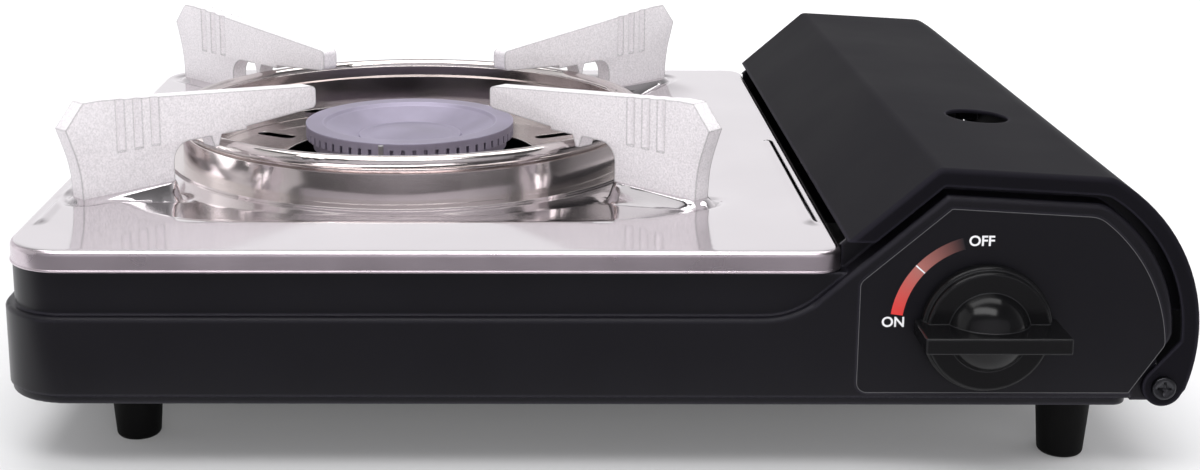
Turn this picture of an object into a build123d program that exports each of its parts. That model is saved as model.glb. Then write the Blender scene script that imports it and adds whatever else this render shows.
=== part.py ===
from build123d import *
import math
import os

# Butane cassette stove, in millimetres.
# Origin: under the middle of the stove, on the surface that its feet stand on.
# +X is to the right of someone facing the knob, +Y to the back, +Z up.

# ---------------------------------------------------------------- driving sizes
# Whole stove: over the body and cover, and over the knob's bar and the rear hinge screw
stove_length = 335.0
stove_depth = 279.0

# Body
left_corner_radius = 20.0
right_corner_radius = 5.0
foot_height = 20.6
base_lip_height = 2.6
base_inset = 0.7
base_edge_radius = 0.8
notch_from_left = 24.5
notch_radius = 1.0
lower_wall_height = 23.0
band_height = 12.6
band_inset = 2.6
shoulder_radius = 1.2
rim_flange_width = 9.0
body_sheet = 1.2
floor_sheet = 1.2
partition_gap = 2.7
partition_sheet = 1.0
partition_front_gap = 2.4
low_side_height = 16.0

# Housing over the cartridge, drawn as the cover's outer profile
cover_sheet = 1.2
cover_width = 98.2
cover_left_rise = 2.9
cover_slant_width = 24.1
cover_slant_height = 21.0
cover_top_slope = -3.3
cover_arc_radius = 51.4
cover_arc_rise = 3.6
cover_bottom_z = 25.4
cover_lip = 5.0
cover_lip_depth = 1.4
cover_edge_radius = 1.2
past_lip = 8.0
sharpest_bend = 1.0
cover_fold_radius = 3.5
cover_shoulder_radius = 8.0
cover_gap = 2.5
cover_seat_clearance = 0.4
housing_rim_depth = 9.0
sweep_radius = 23.0
panel_margin = 3.6
panel_sheet = 0.5
panel_left_margin = 3.8
panel_bottom_margin = 1.4
panel_right_margin = 9.5
panel_waist_height = 12.3
panel_corner_radius = 3.0

# Cover hinge
hinge_inset = 6.58
hinge_rise = 1.0
hinge_stand_off = 8.4
hinge_waist_height = 13.4
hinge_ear_radius = 5.6
hinge_pin_radius = 2.0
running_clearance = 0.05
hinge_head_radius = 3.3
hinge_head_height = 1.6
hinge_bracket_sheet = 1.6
bracket_ear_margin = 1.2
bracket_guard_height = 12.0
bracket_guard_width = 6.5
hinge_side_gap = 0.3
finger_hole_from_fold = 27.0
finger_hole_from_front = 72.0
finger_hole_radius = 9.5

# Top plate
tray_sheet = 0.8
tray_edge_gap = 0.4
tray_seat_gap = 0.3
tray_height = 6.1
tray_edge_radius = 4.0
tray_corner_radius = 8.0
dish_depth = 6.7
dish_left_margin = 14.9
dish_right_margin = 18.9
dish_front_margin = 32.0
dish_back_margin = 10.85
dish_left_slope = 1.8
dish_back_slope = 11.7
dish_corner_radius = 42.0
dish_floor_margin = 4.0
dish_floor_squareness = 18.0
rib_length = 105.0
rib_width = 4.0
rib_height = 0.8
rib_front_margin = 28.0
rib_margin = 5.2

# Burner and ring
ring_radius = 79.0
ring_sheet = 0.8
ring_wall_height = 10.6
ring_bead_radius = 2.3
ring_bead_offset = 1.0
ring_bead_rise = 4.0
ring_foot_width = 5.0
surround_gap = 8.5
surround_depth = 3.0
surround_slot_count = 12
surround_slot_length = 16.0
surround_slot_width = 5.0
head_radius = 36.5
head_rise = 3.5
head_rim_height = 5.0
head_rim_width = 6.0
head_dish_depth = 5.4
head_step = 1.2
head_floor_radius = 18.5
head_hole_radius = 15.0
head_port_count = 60
head_port_width = 1.2
head_port_depth = 2.2
head_sheet = 1.5
port_height = 2.6
cap_height = 1.6
burner_rim_inset = 2.5
burner_rim_height = 3.7
burner_cone_height = 10.0
burner_neck_radius = 15.0
burner_wall = 1.5
tube_radius = 11.0
tube_wall = 1.2
tube_floor_gap = 0.8
tube_boss_reach = 22.0

# Pan supports: profile by distance from the burner's axis and height above the tray
support_thickness = 6.0
support_ring_gap = 16.6
support_foot_length = 33.0
support_arch = 12.4
support_arch_radius = 6.0
support_tooth_offset = 5.4
support_tooth_depth = 3.7
support_tooth_width = 1.6
support_tooth_root = 4.0
support_step_offset = 6.5
support_step_height = 1.0
support_tip = 44.0
support_tip_bottom = 15.4
support_tip_top = 22.6
support_tip_radius = 1.8
support_top = 30.0
support_top_start = 25.4
support_top_end = 31.4
support_horn_reach = 4.8
support_horn_z = 22.5
support_waist_reach = 0.4
support_waist_z = 10.0
support_waist_radius = 40.0
support_groove_count = 3
support_groove_pitch = 6.2
support_groove_first = 6.4
support_groove_width = 3.6
support_groove_depth = 0.9
support_groove_bottom = 13.0
boss_margin = 3.6
boss_edge_radius = 1.8
support_screw_radius = 1.6

# Controls
knob_from_right = 42.2
knob_z = 44.3
knob_gap = 0.5
knob_skirt_radius = 18.0
knob_skirt_height = 3.1
knob_disc_radius = 17.0
knob_disc_height = 2.2
knob_dome_radius = 11.3
knob_dome_height = 8.0
knob_bar_width = 39.3
knob_bar_height = 4.5
knob_reach = 17.5
knob_socket_end = 7.0
knob_skirt_edge = 1.0
knob_disc_edge = 0.8
knob_bar_edge = 0.5
shaft_radius = 4.0
shaft_depth = 35.0
bush_radius = 7.0
bush_flange_radius = 9.5
bush_flange = 1.5
bush_length = 6.0
cam_rest_radius = 10.4
cam_rise_per_turn = 15.0
cam_thickness = 5.0
cam_gap = 0.3
cam_margin = 20.0
cam_points = 12
knob_past_on = 10.0
knob_to_off = 85.0

# Regulator and cartridge bay
cartridge_from_right = 38.0
cartridge_radius = 33.3
trough_half_width = 15.0
trough_depth = 3.2
bay_front_depth = 62.0
regulator_half_width = 19.0
regulator_depth = 34.0
regulator_bottom_z = 34.0
regulator_top_z = 59.0
magnet_radius = 16.0
magnet_hole_radius = 8.0
magnet_thickness = 4.0
flange_thickness = 8.0
seal_radius = 5.0
seal_thickness = 1.5
inlet_radius = 7.6
inlet_length = 3.0
inlet_hole_radius = 2.2
inlet_hole_depth = 12.0
cap_radius = 15.5
cap_thickness = 5.0
cap_shift = 3.0
cap_screw_radius = 1.2
cap_screw_circle = 12.4
shaft_boss_radius = 8.0
shaft_boss_length = 4.0
bracket_sheet = 1.6
bracket_foot = 8.0
burner_bridge_length = 32.0
burner_bridge_width = 20.0
regulator_bridge_length = 30.0
regulator_bridge_width = 24.0
guide_height = 15.0
guide_half_width = 13.0
heat_sheet = 0.8
heat_length = 60.0
heat_reach = 40.2
vent_radius = 5.0
vent_pitch = 24.0
vent_count = 7

# Gas pipe, nozzle and igniter
pipe_radius = 2.2
pipe_wall = 0.6
pipe_bend_radius = 12.0
pipe_from_front = 38.0
pipe_lead = 22.1
pipe_bend_gap = 8.2
nozzle_radius = 3.0
nozzle_length = 18.0
nozzle_tip = 4.0
nozzle_hex = 4.6
shutter_sheet = 1.2
mouth_radius = 14.0
mouth_gap = 1.7
mouth_length = 8.0
piezo_side_gap = 1.3
piezo_edge_radius = 1.0
piezo_height = 11.0
piezo_back_wall = 4.0
plunger_radius = 2.6
plunger_exposed = 5.0
plunger_hidden = 8.0
plunger_play = 0.05
wire_radius = 1.0
wire_bend_radius = 6.0
wire_z = 24.0
wire_turn = 44.0
electrode_radius = 0.9
electrode_turn = -100.0
electrode_rise = 0.3
insulator_radius = 2.6
insulator_bottom_z = 40.0
igniter_arm_rise = 2.0
igniter_arm_width = 8.0
igniter_arm_sheet = 1.2

# Feet and fasteners
foot_top_radius = 8.0
foot_bottom_radius = 6.4
foot_collar_radius = 8.6
foot_collar_height = 2.4
foot_edge_radius = 1.6
foot_inset_front = 30.0
foot_inset_back = 30.0
foot_inset_right = 18.0
foot_from_left = 33.6
foot_from_right = 13.7
screw_radius = 1.5
screw_head_radius = 3.0
screw_head_height = 1.4
screw_length = 8.0
screw_clearance = 0.05

# Modelling
cut_past = 1.0
edge_tolerance = 0.01

# ---------------------------------------------------------------- derived places
body_left = -stove_length / 2
body_right = stove_length / 2
body_front = knob_reach - stove_depth / 2
body_back = stove_depth / 2 - hinge_head_height - running_clearance
body_middle_y = (body_front + body_back) / 2
floor_z = foot_height + floor_sheet
seam_z = foot_height + base_lip_height
shoulder_z = seam_z + lower_wall_height
rim_z = shoulder_z + band_height
tray_bottom_z = rim_z + tray_seat_gap
tray_z = tray_bottom_z + tray_height
cover_left_x = body_right - cover_width
cover_left_z = tray_z + cover_left_rise
cover_fold_x = cover_left_x + cover_slant_width
cover_fold_z = cover_left_z + cover_slant_height
cover_arc_x = body_right - cover_arc_radius
cover_arc_z = cover_fold_z + cover_arc_rise - cover_arc_radius
cover_bottom_x = cover_arc_x + math.sqrt(cover_arc_radius ** 2 - (cover_arc_z - cover_bottom_z) ** 2)
hinge_x = cover_bottom_x - hinge_inset
hinge_z = cover_bottom_z + hinge_rise
body_floor_right = hinge_x - hinge_stand_off
panel_left = cover_left_x + panel_left_margin
panel_bottom = seam_z + panel_bottom_margin
knob_x = body_floor_right - knob_from_right
cartridge_x = body_floor_right - cartridge_from_right
tray_left = body_left + band_inset
tray_right = cover_left_x - tray_edge_gap
partition_x = tray_right + partition_gap
dish_left = tray_left + dish_left_margin
dish_right = tray_right - dish_right_margin
dish_front = body_front + dish_front_margin
dish_back = body_back - dish_back_margin
dish_floor_z = tray_z - dish_depth
dish_floor_half = ring_radius + ring_foot_width + dish_floor_margin
burner_x = dish_left + dish_left_slope + dish_floor_half
burner_y = dish_back - dish_back_slope - dish_floor_half
support_foot_inner = ring_radius + ring_foot_width + support_ring_gap
support_foot_outer = support_foot_inner + support_foot_length
head_top_z = tray_z + head_rise
head_bottom_z = head_top_z - head_rim_height
surround_hole_radius = head_radius + surround_gap
surround_radius = ring_radius - ring_foot_width - running_clearance
surround_z = dish_floor_z - surround_depth
burner_rim_radius = head_radius - burner_rim_inset
burner_cone_top_z = head_bottom_z - burner_rim_height
burner_cone_bottom_z = burner_cone_top_z - burner_cone_height
tube_axis_z = dish_floor_z - tray_sheet - mouth_gap - mouth_radius
burner_floor_z = tube_axis_z - tube_radius - tube_wall - tube_floor_gap
electrode_reach = (head_radius + surround_hole_radius) / 2
bay_front = body_front + bay_front_depth
trough_z = floor_z - trough_depth
regulator_back = bay_front - magnet_thickness
regulator_front = regulator_back - regulator_depth
regulator_middle_y = (regulator_front + regulator_back) / 2
burner_bridge = (burner_x, burner_y, burner_bridge_length / 2, burner_bridge_width / 2, burner_floor_z)
regulator_bridge = (cartridge_x, regulator_middle_y, regulator_bridge_length / 2, regulator_bridge_width / 2,
                    regulator_bottom_z)
cam_front = body_front + bush_length + cam_gap
cam_middle_y = cam_front + cam_thickness / 2
cartridge_z = trough_z + heat_sheet + cartridge_radius
pipe_y = body_front + pipe_from_front
pipe_bend_x = partition_x - pipe_bend_gap
tube_angle = math.degrees(math.atan2(pipe_y - burner_y, pipe_bend_x - burner_x))
pipe_bend = math.hypot(pipe_y - burner_y, pipe_bend_x - burner_x)
shutter_end = pipe_bend - pipe_lead - nozzle_length / 2
tube_end = shutter_end - shutter_sheet
heat_front = burner_y - heat_length / 2
heat_back = burner_y + heat_length / 2
sweep_left_x = cover_left_x - 2 * sweep_radius


# ---------------------------------------------------------------- helpers
def plan_block(left, right, front, back, bottom, top, left_radius, right_radius):
    """Upright block whose plan corners are rounded, each side with its own radius."""
    face = Pos((left + right) / 2, (front + back) / 2, bottom) * Rectangle(right - left, back - front)
    if left_radius > 0:
        face = fillet(face.vertices().sort_by(Axis.X)[:2], left_radius)
    if right_radius > 0:
        face = fillet(face.vertices().sort_by(Axis.X)[-2:], right_radius)
    return extrude(face, top - bottom)


def box(left, right, front, back, bottom, top):
    """Plain box between six faces."""
    middle = Pos((left + right) / 2, (front + back) / 2, (bottom + top) / 2)
    return middle * Box(right - left, back - front, top - bottom)


def disc(x, y, bottom, top, radius):
    """Upright cylinder between two heights."""
    return Pos(x, y, (bottom + top) / 2) * Cylinder(radius, top - bottom)


def rod_y(x, z, front, back, radius):
    """Cylinder along Y between two depths."""
    return Pos(x, (front + back) / 2, z) * Rot(90, 0, 0) * Cylinder(radius, back - front)


def upright_face(points):
    """Face in the XZ plane through a closed list of (x, z) points."""
    corners = [(x, 0, z) for x, z in points]
    return make_face(Polyline(*corners, close=True))


def along_y(face, front, back):
    """Solid from a face in the XZ plane, run from one depth to another."""
    return Pos(0, front, 0) * extrude(face, back - front, dir=(0, 1, 0))


def around_burner(points):
    """Ring turned about the burner's axis from (radius, z) points."""
    face = upright_face(points)
    return Pos(burner_x, burner_y, 0) * revolve(face, Axis.Z)


def screw_down(x, y, top, length=screw_length):
    """Pan-head screw that points down, its head's underside at the given height."""
    head = disc(x, y, top, top + screw_head_height, screw_head_radius)
    return head + disc(x, y, top - length, top, screw_radius)


# ---------------------------------------------------------------- cover profile
def profile_point(inset, corner):
    """A corner of the cover's profile moved inwards: left, fold, shoulder or bottom."""
    slant = math.atan2(cover_fold_z - cover_left_z, cover_fold_x - cover_left_x)
    slope = math.radians(cover_top_slope)
    left_x = cover_left_x + inset * math.sin(slant)
    left_z = cover_left_z - inset * math.cos(slant)
    if corner == "left":
        return (left_x, left_z)
    top_x = cover_fold_x + inset * math.sin(slope)
    top_z = cover_fold_z - inset * math.cos(slope)
    if corner == "fold":
        run = ((top_x - left_x) * math.sin(slope) - (top_z - left_z) * math.cos(slope))
        run = run / math.sin(slope - slant)
        return (left_x + run * math.cos(slant), left_z + run * math.sin(slant))
    radius = cover_arc_radius - inset
    if corner == "shoulder":
        from_x = top_x - cover_arc_x
        from_z = top_z - cover_arc_z
        half = from_x * math.cos(slope) + from_z * math.sin(slope)
        reach = -half + math.sqrt(half * half - from_x ** 2 - from_z ** 2 + radius ** 2)
        return (top_x + reach * math.cos(slope), top_z + reach * math.sin(slope))
    drop = cover_bottom_z - cover_arc_z
    return (cover_arc_x + math.sqrt(radius ** 2 - drop ** 2), cover_bottom_z)


def slant_at(inset, z):
    """X where the slanted left side, moved inwards, reaches a height."""
    left_x, left_z = profile_point(inset, "left")
    slope = (cover_fold_z - cover_left_z) / (cover_fold_x - cover_left_x)
    return left_x + (z - left_z) / slope


def arc_at(inset, z):
    """X where the round right side, moved inwards, reaches a height."""
    radius = cover_arc_radius - inset
    return cover_arc_x + math.sqrt(radius ** 2 - (z - cover_arc_z) ** 2)


def hood_face(inset, left_end, right_end):
    """Face under the cover's profile, moved inwards and closed through two (x, z) lists."""
    fold = profile_point(inset, "fold")
    shoulder = profile_point(inset, "shoulder")
    start = left_end[-1]
    finish = right_end[0]
    middle_z = (shoulder[1] + finish[1]) / 2
    middle = (arc_at(inset, middle_z), middle_z)
    lines = Polyline(*[(x, 0, z) for x, z in left_end + [fold, shoulder]])
    arc = ThreePointArc(*[(x, 0, z) for x, z in (shoulder, middle, finish)])
    closing = Polyline(*[(x, 0, z) for x, z in right_end + [left_end[0]]])
    face = make_face(lines + arc + closing)
    face = round_corner(face, fold, max(cover_fold_radius - inset / 2, sharpest_bend))
    return round_corner(face, shoulder, cover_shoulder_radius)


def round_corner(face, corner, radius):
    """Round the corner of an XZ face that lies nearest to an (x, z) place."""
    place = Vector(corner[0], 0, corner[1])
    nearest = face.vertices().sort_by(lambda vertex: (Vector(*vertex) - place).length)[0]
    return fillet(nearest, radius)


# ---------------------------------------------------------------- body
def housing_outline(inset, sheet=0):
    """Raised end of the housing: sweeps up from the shoulder, round under the cover's lip and down."""
    shoulder_line = shoulder_z - sheet
    corner_x = slant_at(inset, shoulder_line)
    waist_z = hinge_z + hinge_waist_height
    right_x = body_floor_right - sheet
    right_end = [(arc_at(inset, waist_z), waist_z), (right_x, hinge_z + hinge_ear_radius), (right_x, seam_z)]
    left_end = [(sweep_left_x, seam_z), (sweep_left_x, shoulder_line), (corner_x, shoulder_line)]
    face = hood_face(inset, left_end, right_end)
    face = round_corner(face, (corner_x, shoulder_line), sweep_radius + sheet)
    face = round_corner(face, right_end[0], hinge_ear_radius)
    return round_corner(face, right_end[1], hinge_ear_radius / 2)


def to_back(front_solid):
    """The same shape at the other end of the stove."""
    return mirror(front_solid, about=Plane.XZ.offset(-body_middle_y))


def housing_block():
    """Solid front end of the housing."""
    return along_y(housing_outline(cover_lip + cover_gap), body_front, body_front + housing_rim_depth)


def housing_hollow():
    """Space behind the front end's sheet, open towards the cartridge."""
    outline = housing_outline(cover_lip + cover_gap + body_sheet, body_sheet)
    return along_y(outline, body_front + body_sheet, body_front + housing_rim_depth)


def housing_seat():
    """Flange at the back of the housing's rim, which the cover comes down on."""
    back = body_front + housing_rim_depth
    reach = cover_sheet + cover_seat_clearance
    flange = along_y(housing_outline(reach), back - body_sheet, back)
    rim = housing_outline(cover_lip + cover_gap + body_sheet, body_sheet)
    opening = along_y(rim, back - body_sheet, back)
    below = box(body_left, tray_right, back - body_sheet, back, seam_z, tray_z)
    below += box(tray_right, body_right, back - body_sheet, back, seam_z, shoulder_z)
    return flange - opening - below


def tub(inset, bottom, top):
    """Lower body, drawn in from its outer face."""
    return plan_block(
        body_left + inset, body_floor_right - inset, body_front + inset, body_back - inset,
        bottom, top, left_corner_radius - inset, right_corner_radius - inset)


def band(inset, bottom, top):
    """Upper band of the body beside the top plate, drawn in from its outer face."""
    side = band_inset + inset
    return plan_block(
        body_left + side, partition_x - inset, body_front + side, body_back - side,
        bottom, top, left_corner_radius - side, 0)


def is_crest(edge):
    """Whether an edge of the solid body is one of those that the press rounds."""
    middle = edge @ 0.5
    on_shoulder = abs(middle.Z - shoulder_z) < edge_tolerance and middle.X < partition_x
    on_end = min(abs(middle.Y - body_front), abs(middle.Y - body_back)) < edge_tolerance
    past_corner = middle.X > body_left + left_corner_radius + edge_tolerance
    return on_shoulder or (on_end and past_corner and middle.Z > seam_z + edge_tolerance)


def body_block():
    """Solid body below the band, with both housing ends and its crest rounded."""
    block = tub(0, seam_z, shoulder_z) + housing_block() + to_back(housing_block())
    return fillet(block.edges().filter_by(is_crest), shoulder_radius)


def body_shell():
    """Pressed steel body: tub, shoulder, upper band, tray rim and both housing ends."""
    hollow = tub(body_sheet, seam_z, shoulder_z - body_sheet)
    bay_left = partition_x - body_sheet
    bay_right = body_floor_right - body_sheet
    hollow += box(bay_left, bay_right, body_front + body_sheet, body_back - body_sheet, seam_z, shoulder_z)
    hollow += band(body_sheet, seam_z, shoulder_z)
    upper = band(0, shoulder_z - body_sheet, rim_z) - band(body_sheet, seam_z, rim_z - body_sheet)
    upper -= band(rim_flange_width, seam_z, rim_z)
    upper -= dish(-tray_sheet - tray_seat_gap, tray_sheet + tray_seat_gap, 0)
    rim_front = body_front + housing_rim_depth
    rim_back = body_back - housing_rim_depth
    low_top = seam_z + low_side_height
    hollow += box(partition_x, body_right, rim_front, rim_back, low_top, cover_fold_z)
    shell = body_block() - hollow - housing_hollow() - to_back(housing_hollow())
    return shell + upper + housing_seat() + to_back(housing_seat()) - control_hole()


def control_hole():
    """Hole in the front wall that the shaft bush fits in, with the panel sheet's recess."""
    hole = rod_y(knob_x, knob_z, body_front, body_front + body_sheet, bush_radius)
    return hole + along_y(panel_face(0), body_front, body_front + panel_sheet)


def panel_face(inset):
    """Face of the control panel sheet inside the raised ridge."""
    side = cover_lip + cover_gap + panel_margin + inset
    waist_z = hinge_z + panel_waist_height
    edge_x = arc_at(side - panel_margin / 2, waist_z)
    right_end = [
        (edge_x, waist_z),
        (hinge_x - panel_right_margin, panel_bottom + inset),
    ]
    left_end = [
        (panel_left + inset, panel_bottom + inset),
        (panel_left + inset, panel_slant_start(side)),
    ]
    face = hood_face(side, left_end, right_end)
    for corner in (left_end[0], left_end[1], right_end[0]):
        face = round_corner(face, corner, panel_corner_radius)
    return face


def panel_slant_start(side):
    """Height where the panel's left edge meets the slant."""
    left_x, left_z = profile_point(side, "left")
    slope = (cover_fold_z - cover_left_z) / (cover_fold_x - cover_left_x)
    return left_z + (panel_left - left_x) * slope


def control_panel():
    """Thin panel sheet in its recess, with the bush's hole."""
    sheet = along_y(panel_face(0), body_front, body_front + panel_sheet)
    return sheet - rod_y(knob_x, knob_z, body_front, body_front + panel_sheet, bush_radius)


def floor_pan(inset, bottom, top):
    """Floor pan's outline, drawn in from the body's outer face."""
    return tub(base_inset + inset, bottom, top)


def base_plate():
    """Floor pan with a lip under the body, an upstand inside it and the cartridge's trough."""
    upstand_inset = body_sheet - base_inset + running_clearance
    pan = floor_pan(0, foot_height, seam_z)
    pan = fillet(pan.edges().group_by(Axis.Z)[0], base_edge_radius)
    pan += floor_pan(upstand_inset, floor_z, seam_z + base_lip_height)
    pan -= floor_pan(upstand_inset + floor_sheet, floor_z, seam_z + base_lip_height)
    left = cartridge_x - trough_half_width
    right = cartridge_x + trough_half_width
    front = bay_front + floor_sheet
    back = body_back - 2 * floor_sheet - base_lip_height
    pan += box(left, right, front, back, trough_z - floor_sheet, floor_z)
    pan -= box(left + floor_sheet, right - floor_sheet, front + floor_sheet, back - floor_sheet,
               trough_z, floor_z)
    notch_x = body_left + notch_from_left
    notch = rod_y(notch_x, foot_height, body_front, body_front + 2 * body_sheet, notch_radius)
    for x, y in floor_hole_places():
        pan -= disc(x, y, foot_height, floor_z, screw_radius + screw_clearance)
    return pan - notch


def floor_hole_places():
    """Every screw that goes through the floor pan."""
    places = list(foot_places().values())
    for x, y, half_length, half_width, top in (burner_bridge, regulator_bridge):
        places += [(place, y) for place in bridge_screw_places(x, half_length)]
    return places


def foot_places():
    """Middle of each foot, by name."""
    front = body_front + foot_inset_front
    back = body_back - foot_inset_back
    right_front = body_front + foot_inset_right
    left = body_left + foot_from_left
    right = body_floor_right - foot_from_right
    return {
        "front_left": (left, front),
        "front_right": (right, right_front),
        "rear_left": (left, back),
        "rear_right": (right, back),
    }


def foot(x, y):
    """Tapered foot with a collar under the floor pan and a hole for its screw."""
    sleeve = Pos(x, y, foot_height / 2) * Cone(foot_bottom_radius, foot_top_radius, foot_height)
    sleeve = fillet(sleeve.edges().group_by(Axis.Z)[0], foot_edge_radius)
    sleeve += disc(x, y, foot_height - foot_collar_height, foot_height, foot_collar_radius)
    return sleeve - disc(x, y, foot_height - screw_length, foot_height, screw_radius)


def foot_screws():
    """Screws down through the floor pan into the feet."""
    return [screw_down(x, y, floor_z, screw_length + floor_sheet) for x, y in foot_places().values()]


# ---------------------------------------------------------------- top plate
def tray_block(inset, bottom, top):
    """Top plate's outline, drawn in from its outer face."""
    return plan_block(
        tray_left + inset, tray_right - inset, body_front + inset, body_back - inset, bottom, top,
        left_corner_radius - band_inset - inset, tray_corner_radius - inset)


def dish(inset, drop, rise):
    """Solid filling of the rounded-square dish, from its floor to above the plate."""
    middle = Pos((dish_left + dish_right) / 2, (dish_front + dish_back) / 2, tray_z - drop)
    mouth = RectangleRounded(
        dish_right - dish_left - 2 * inset, dish_back - dish_front - 2 * inset, dish_corner_radius - inset)
    side = 2 * (dish_floor_half - inset)
    corner = dish_floor_half - dish_floor_squareness - inset
    bed = Pos(burner_x, burner_y, dish_floor_z - drop) * RectangleRounded(side, side, corner)
    bowl = loft([middle * mouth, bed])
    if rise > 0:
        bowl += extrude(middle * mouth, rise)
    return bowl


def support_angles():
    """Direction of each pan support from the burner's axis, by name."""
    return {"front_left": 225, "front_right": 315, "rear_left": 135, "rear_right": 45}


def toward(angle):
    """Frame at the burner's axis with its X along one pan support."""
    return Pos(burner_x, burner_y, 0) * Rot(0, 0, angle)


def boss(inset, bottom, top):
    """Stadium under a pan support's foot, along X, drawn in from its outer face."""
    length = support_foot_outer - support_foot_inner + 2 * boss_margin - 2 * inset
    width = support_thickness + 2 * boss_margin - 2 * inset
    middle = Pos((support_foot_inner + support_foot_outer) / 2, 0, bottom)
    return extrude(middle * SlotOverall(length, width), top - bottom)


def support_screw_places():
    """Distance of each pan support's two screws from the burner's axis."""
    third = (support_foot_outer - support_foot_inner) / 4
    return [support_foot_inner + third, support_foot_outer - third]


def top_plate():
    """Pressed steel drip tray: rolled edge, dish, bosses, ribs and the burner's hole."""
    outer = tray_block(0, tray_bottom_z, tray_z)
    outer = fillet(outer.edges().group_by(Axis.Z)[-1], tray_edge_radius)
    inner = tray_block(tray_sheet, tray_bottom_z, tray_z - tray_sheet)
    inner = fillet(inner.edges().group_by(Axis.Z)[-1], tray_edge_radius - tray_sheet)
    shell = outer - inner + dish(-tray_sheet, tray_sheet, 0) - dish(0, 0, cut_past)
    filling = dish(0, 0, 0) + dish(-tray_sheet, tray_sheet, 0)
    for angle in support_angles().values():
        raised = boss(0, dish_floor_z - tray_sheet, tray_z)
        raised = fillet(raised.edges().group_by(Axis.Z)[-1], boss_edge_radius)
        hollow = boss(tray_sheet, dish_floor_z - 2 * tray_sheet, tray_z - tray_sheet)
        lifted = (toward(angle) * raised) & filling
        shell = shell + lifted - toward(angle) * hollow
        for distance in support_screw_places():
            shell -= toward(angle) * disc(distance, 0, tray_bottom_z, tray_z, support_screw_radius)
    shell -= disc(burner_x, burner_y, dish_floor_z - 2 * tray_sheet, tray_z, ring_radius - ring_foot_width)
    rib_y = body_front + rib_front_margin + rib_length / 2
    for x in (tray_left + rib_margin, tray_right - rib_margin):
        rib = Pos(x, rib_y, tray_z) * Rot(0, 0, 90) * SlotOverall(rib_length, rib_width)
        shell += extrude(rib, rib_height)
    return shell


def support_corners():
    """Corners of a pan support: distance from the burner's axis, height over the tray, rounding."""
    tooth = ring_radius + support_tooth_offset
    tooth_z = support_arch - support_tooth_depth
    step = ring_radius - support_step_offset
    return [
        (support_foot_outer, 0, 0),
        (support_foot_inner, 0, 0),
        (support_foot_inner, support_arch, support_arch_radius),
        (tooth + support_tooth_root / 2, support_arch, 0),
        (tooth + support_tooth_width / 2, tooth_z, 0),
        (tooth - support_tooth_width / 2, tooth_z, 0),
        (tooth - support_tooth_root / 2, support_arch, 0),
        (step, support_arch, 0),
        (step, support_arch + support_step_height, 0),
        (support_tip, support_tip_bottom, support_tip_radius),
        (support_tip, support_tip_top, support_tip_radius),
        (support_foot_inner + support_top_start, support_top, 0),
        (support_foot_inner + support_top_end, support_top, 0),
        (support_foot_outer + support_horn_reach, support_horn_z, 0),
        (support_foot_outer + support_waist_reach, support_waist_z, support_waist_radius),
    ]


def pan_support(angle):
    """Cast arm: foot, arch over the ring, tooth, tip, long top edge, horn and three grooves."""
    corners = support_corners()
    arm = upright_face([(distance, tray_z + height) for distance, height, _ in corners])
    for distance, height, rounding in corners:
        if rounding > 0:
            arm = round_corner(arm, (distance, tray_z + height), rounding)
    arm = along_y(arm, -support_thickness / 2, support_thickness / 2)
    bottom = tray_z + support_groove_bottom
    top = tray_z + support_top + cut_past
    axis_y = support_thickness / 2 + support_groove_width / 2 - support_groove_depth
    for count in range(support_groove_count):
        distance = support_foot_inner + support_groove_first + count * support_groove_pitch
        for side in (-1, 1):
            arm -= disc(distance, side * axis_y, bottom, top, support_groove_width / 2)
    for distance in support_screw_places():
        arm -= disc(distance, 0, tray_z, tray_z + screw_length, support_screw_radius)
    return toward(angle) * arm


def pan_support_screws():
    """Two screws up through each boss into each arm."""
    screws = []
    for angle in support_angles().values():
        for distance in support_screw_places():
            seat = tray_z - tray_sheet
            head = disc(distance, 0, seat - screw_head_height, seat, screw_head_radius)
            shank = disc(distance, 0, seat, tray_z + screw_length, support_screw_radius)
            screws.append(toward(angle) * (head + shank))
    return screws


def windshield_ring():
    """Polished ring: foot on the dish's floor, wall, chamfer and rolled bead."""
    foot = dish_floor_z
    top = foot + ring_wall_height
    inner = ring_radius - ring_sheet
    throat = inner - ring_sheet
    wall = around_burner([
        (ring_radius + ring_foot_width, foot), (ring_radius + ring_foot_width, foot + ring_sheet),
        (ring_radius, foot + ring_sheet), (ring_radius, top), (throat + ring_sheet, top + ring_sheet),
        (throat + ring_sheet, top + ring_bead_rise), (throat, top + ring_bead_rise),
        (throat, top + ring_sheet / 2), (inner, top - ring_sheet / 2), (inner, foot)])
    bead_place = Pos(burner_x, burner_y, top + ring_bead_rise)
    return wall + bead_place * Torus(ring_radius + ring_bead_offset, ring_bead_radius)


def burner_surround():
    """Flat plate inside the ring, under its hanging rim, with air slots round the burner."""
    plate = around_burner([
        (surround_hole_radius, surround_z), (surround_radius, surround_z),
        (surround_radius, surround_z + tray_sheet), (surround_hole_radius, surround_z + tray_sheet)])
    middle = (surround_hole_radius + surround_radius) / 2
    for count in range(surround_slot_count):
        turn = count * 360 / surround_slot_count
        slot = Pos(middle, 0, surround_z) * SlotOverall(surround_slot_length, surround_slot_width)
        plate -= toward(turn) * extrude(slot, tray_sheet)
    return plate


def surround_rim():
    """Rim that hangs the slotted plate on the dish's floor, inside the ring."""
    hang = ring_radius - ring_sheet - running_clearance
    inner = surround_radius - tray_sheet
    top = dish_floor_z + tray_sheet
    low = surround_z + tray_sheet
    return around_burner([
        (hang, dish_floor_z), (hang, top), (inner, top), (inner, low), (surround_radius, low),
        (surround_radius, dish_floor_z)])


# ---------------------------------------------------------------- burner
def along_tube(solid_z):
    """Turn a shape drawn up the Z axis from the origin to lie along the mixing tube."""
    return Pos(burner_x, burner_y, tube_axis_z) * Rot(0, 0, tube_angle) * Rot(0, 90, 0) * solid_z


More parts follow.
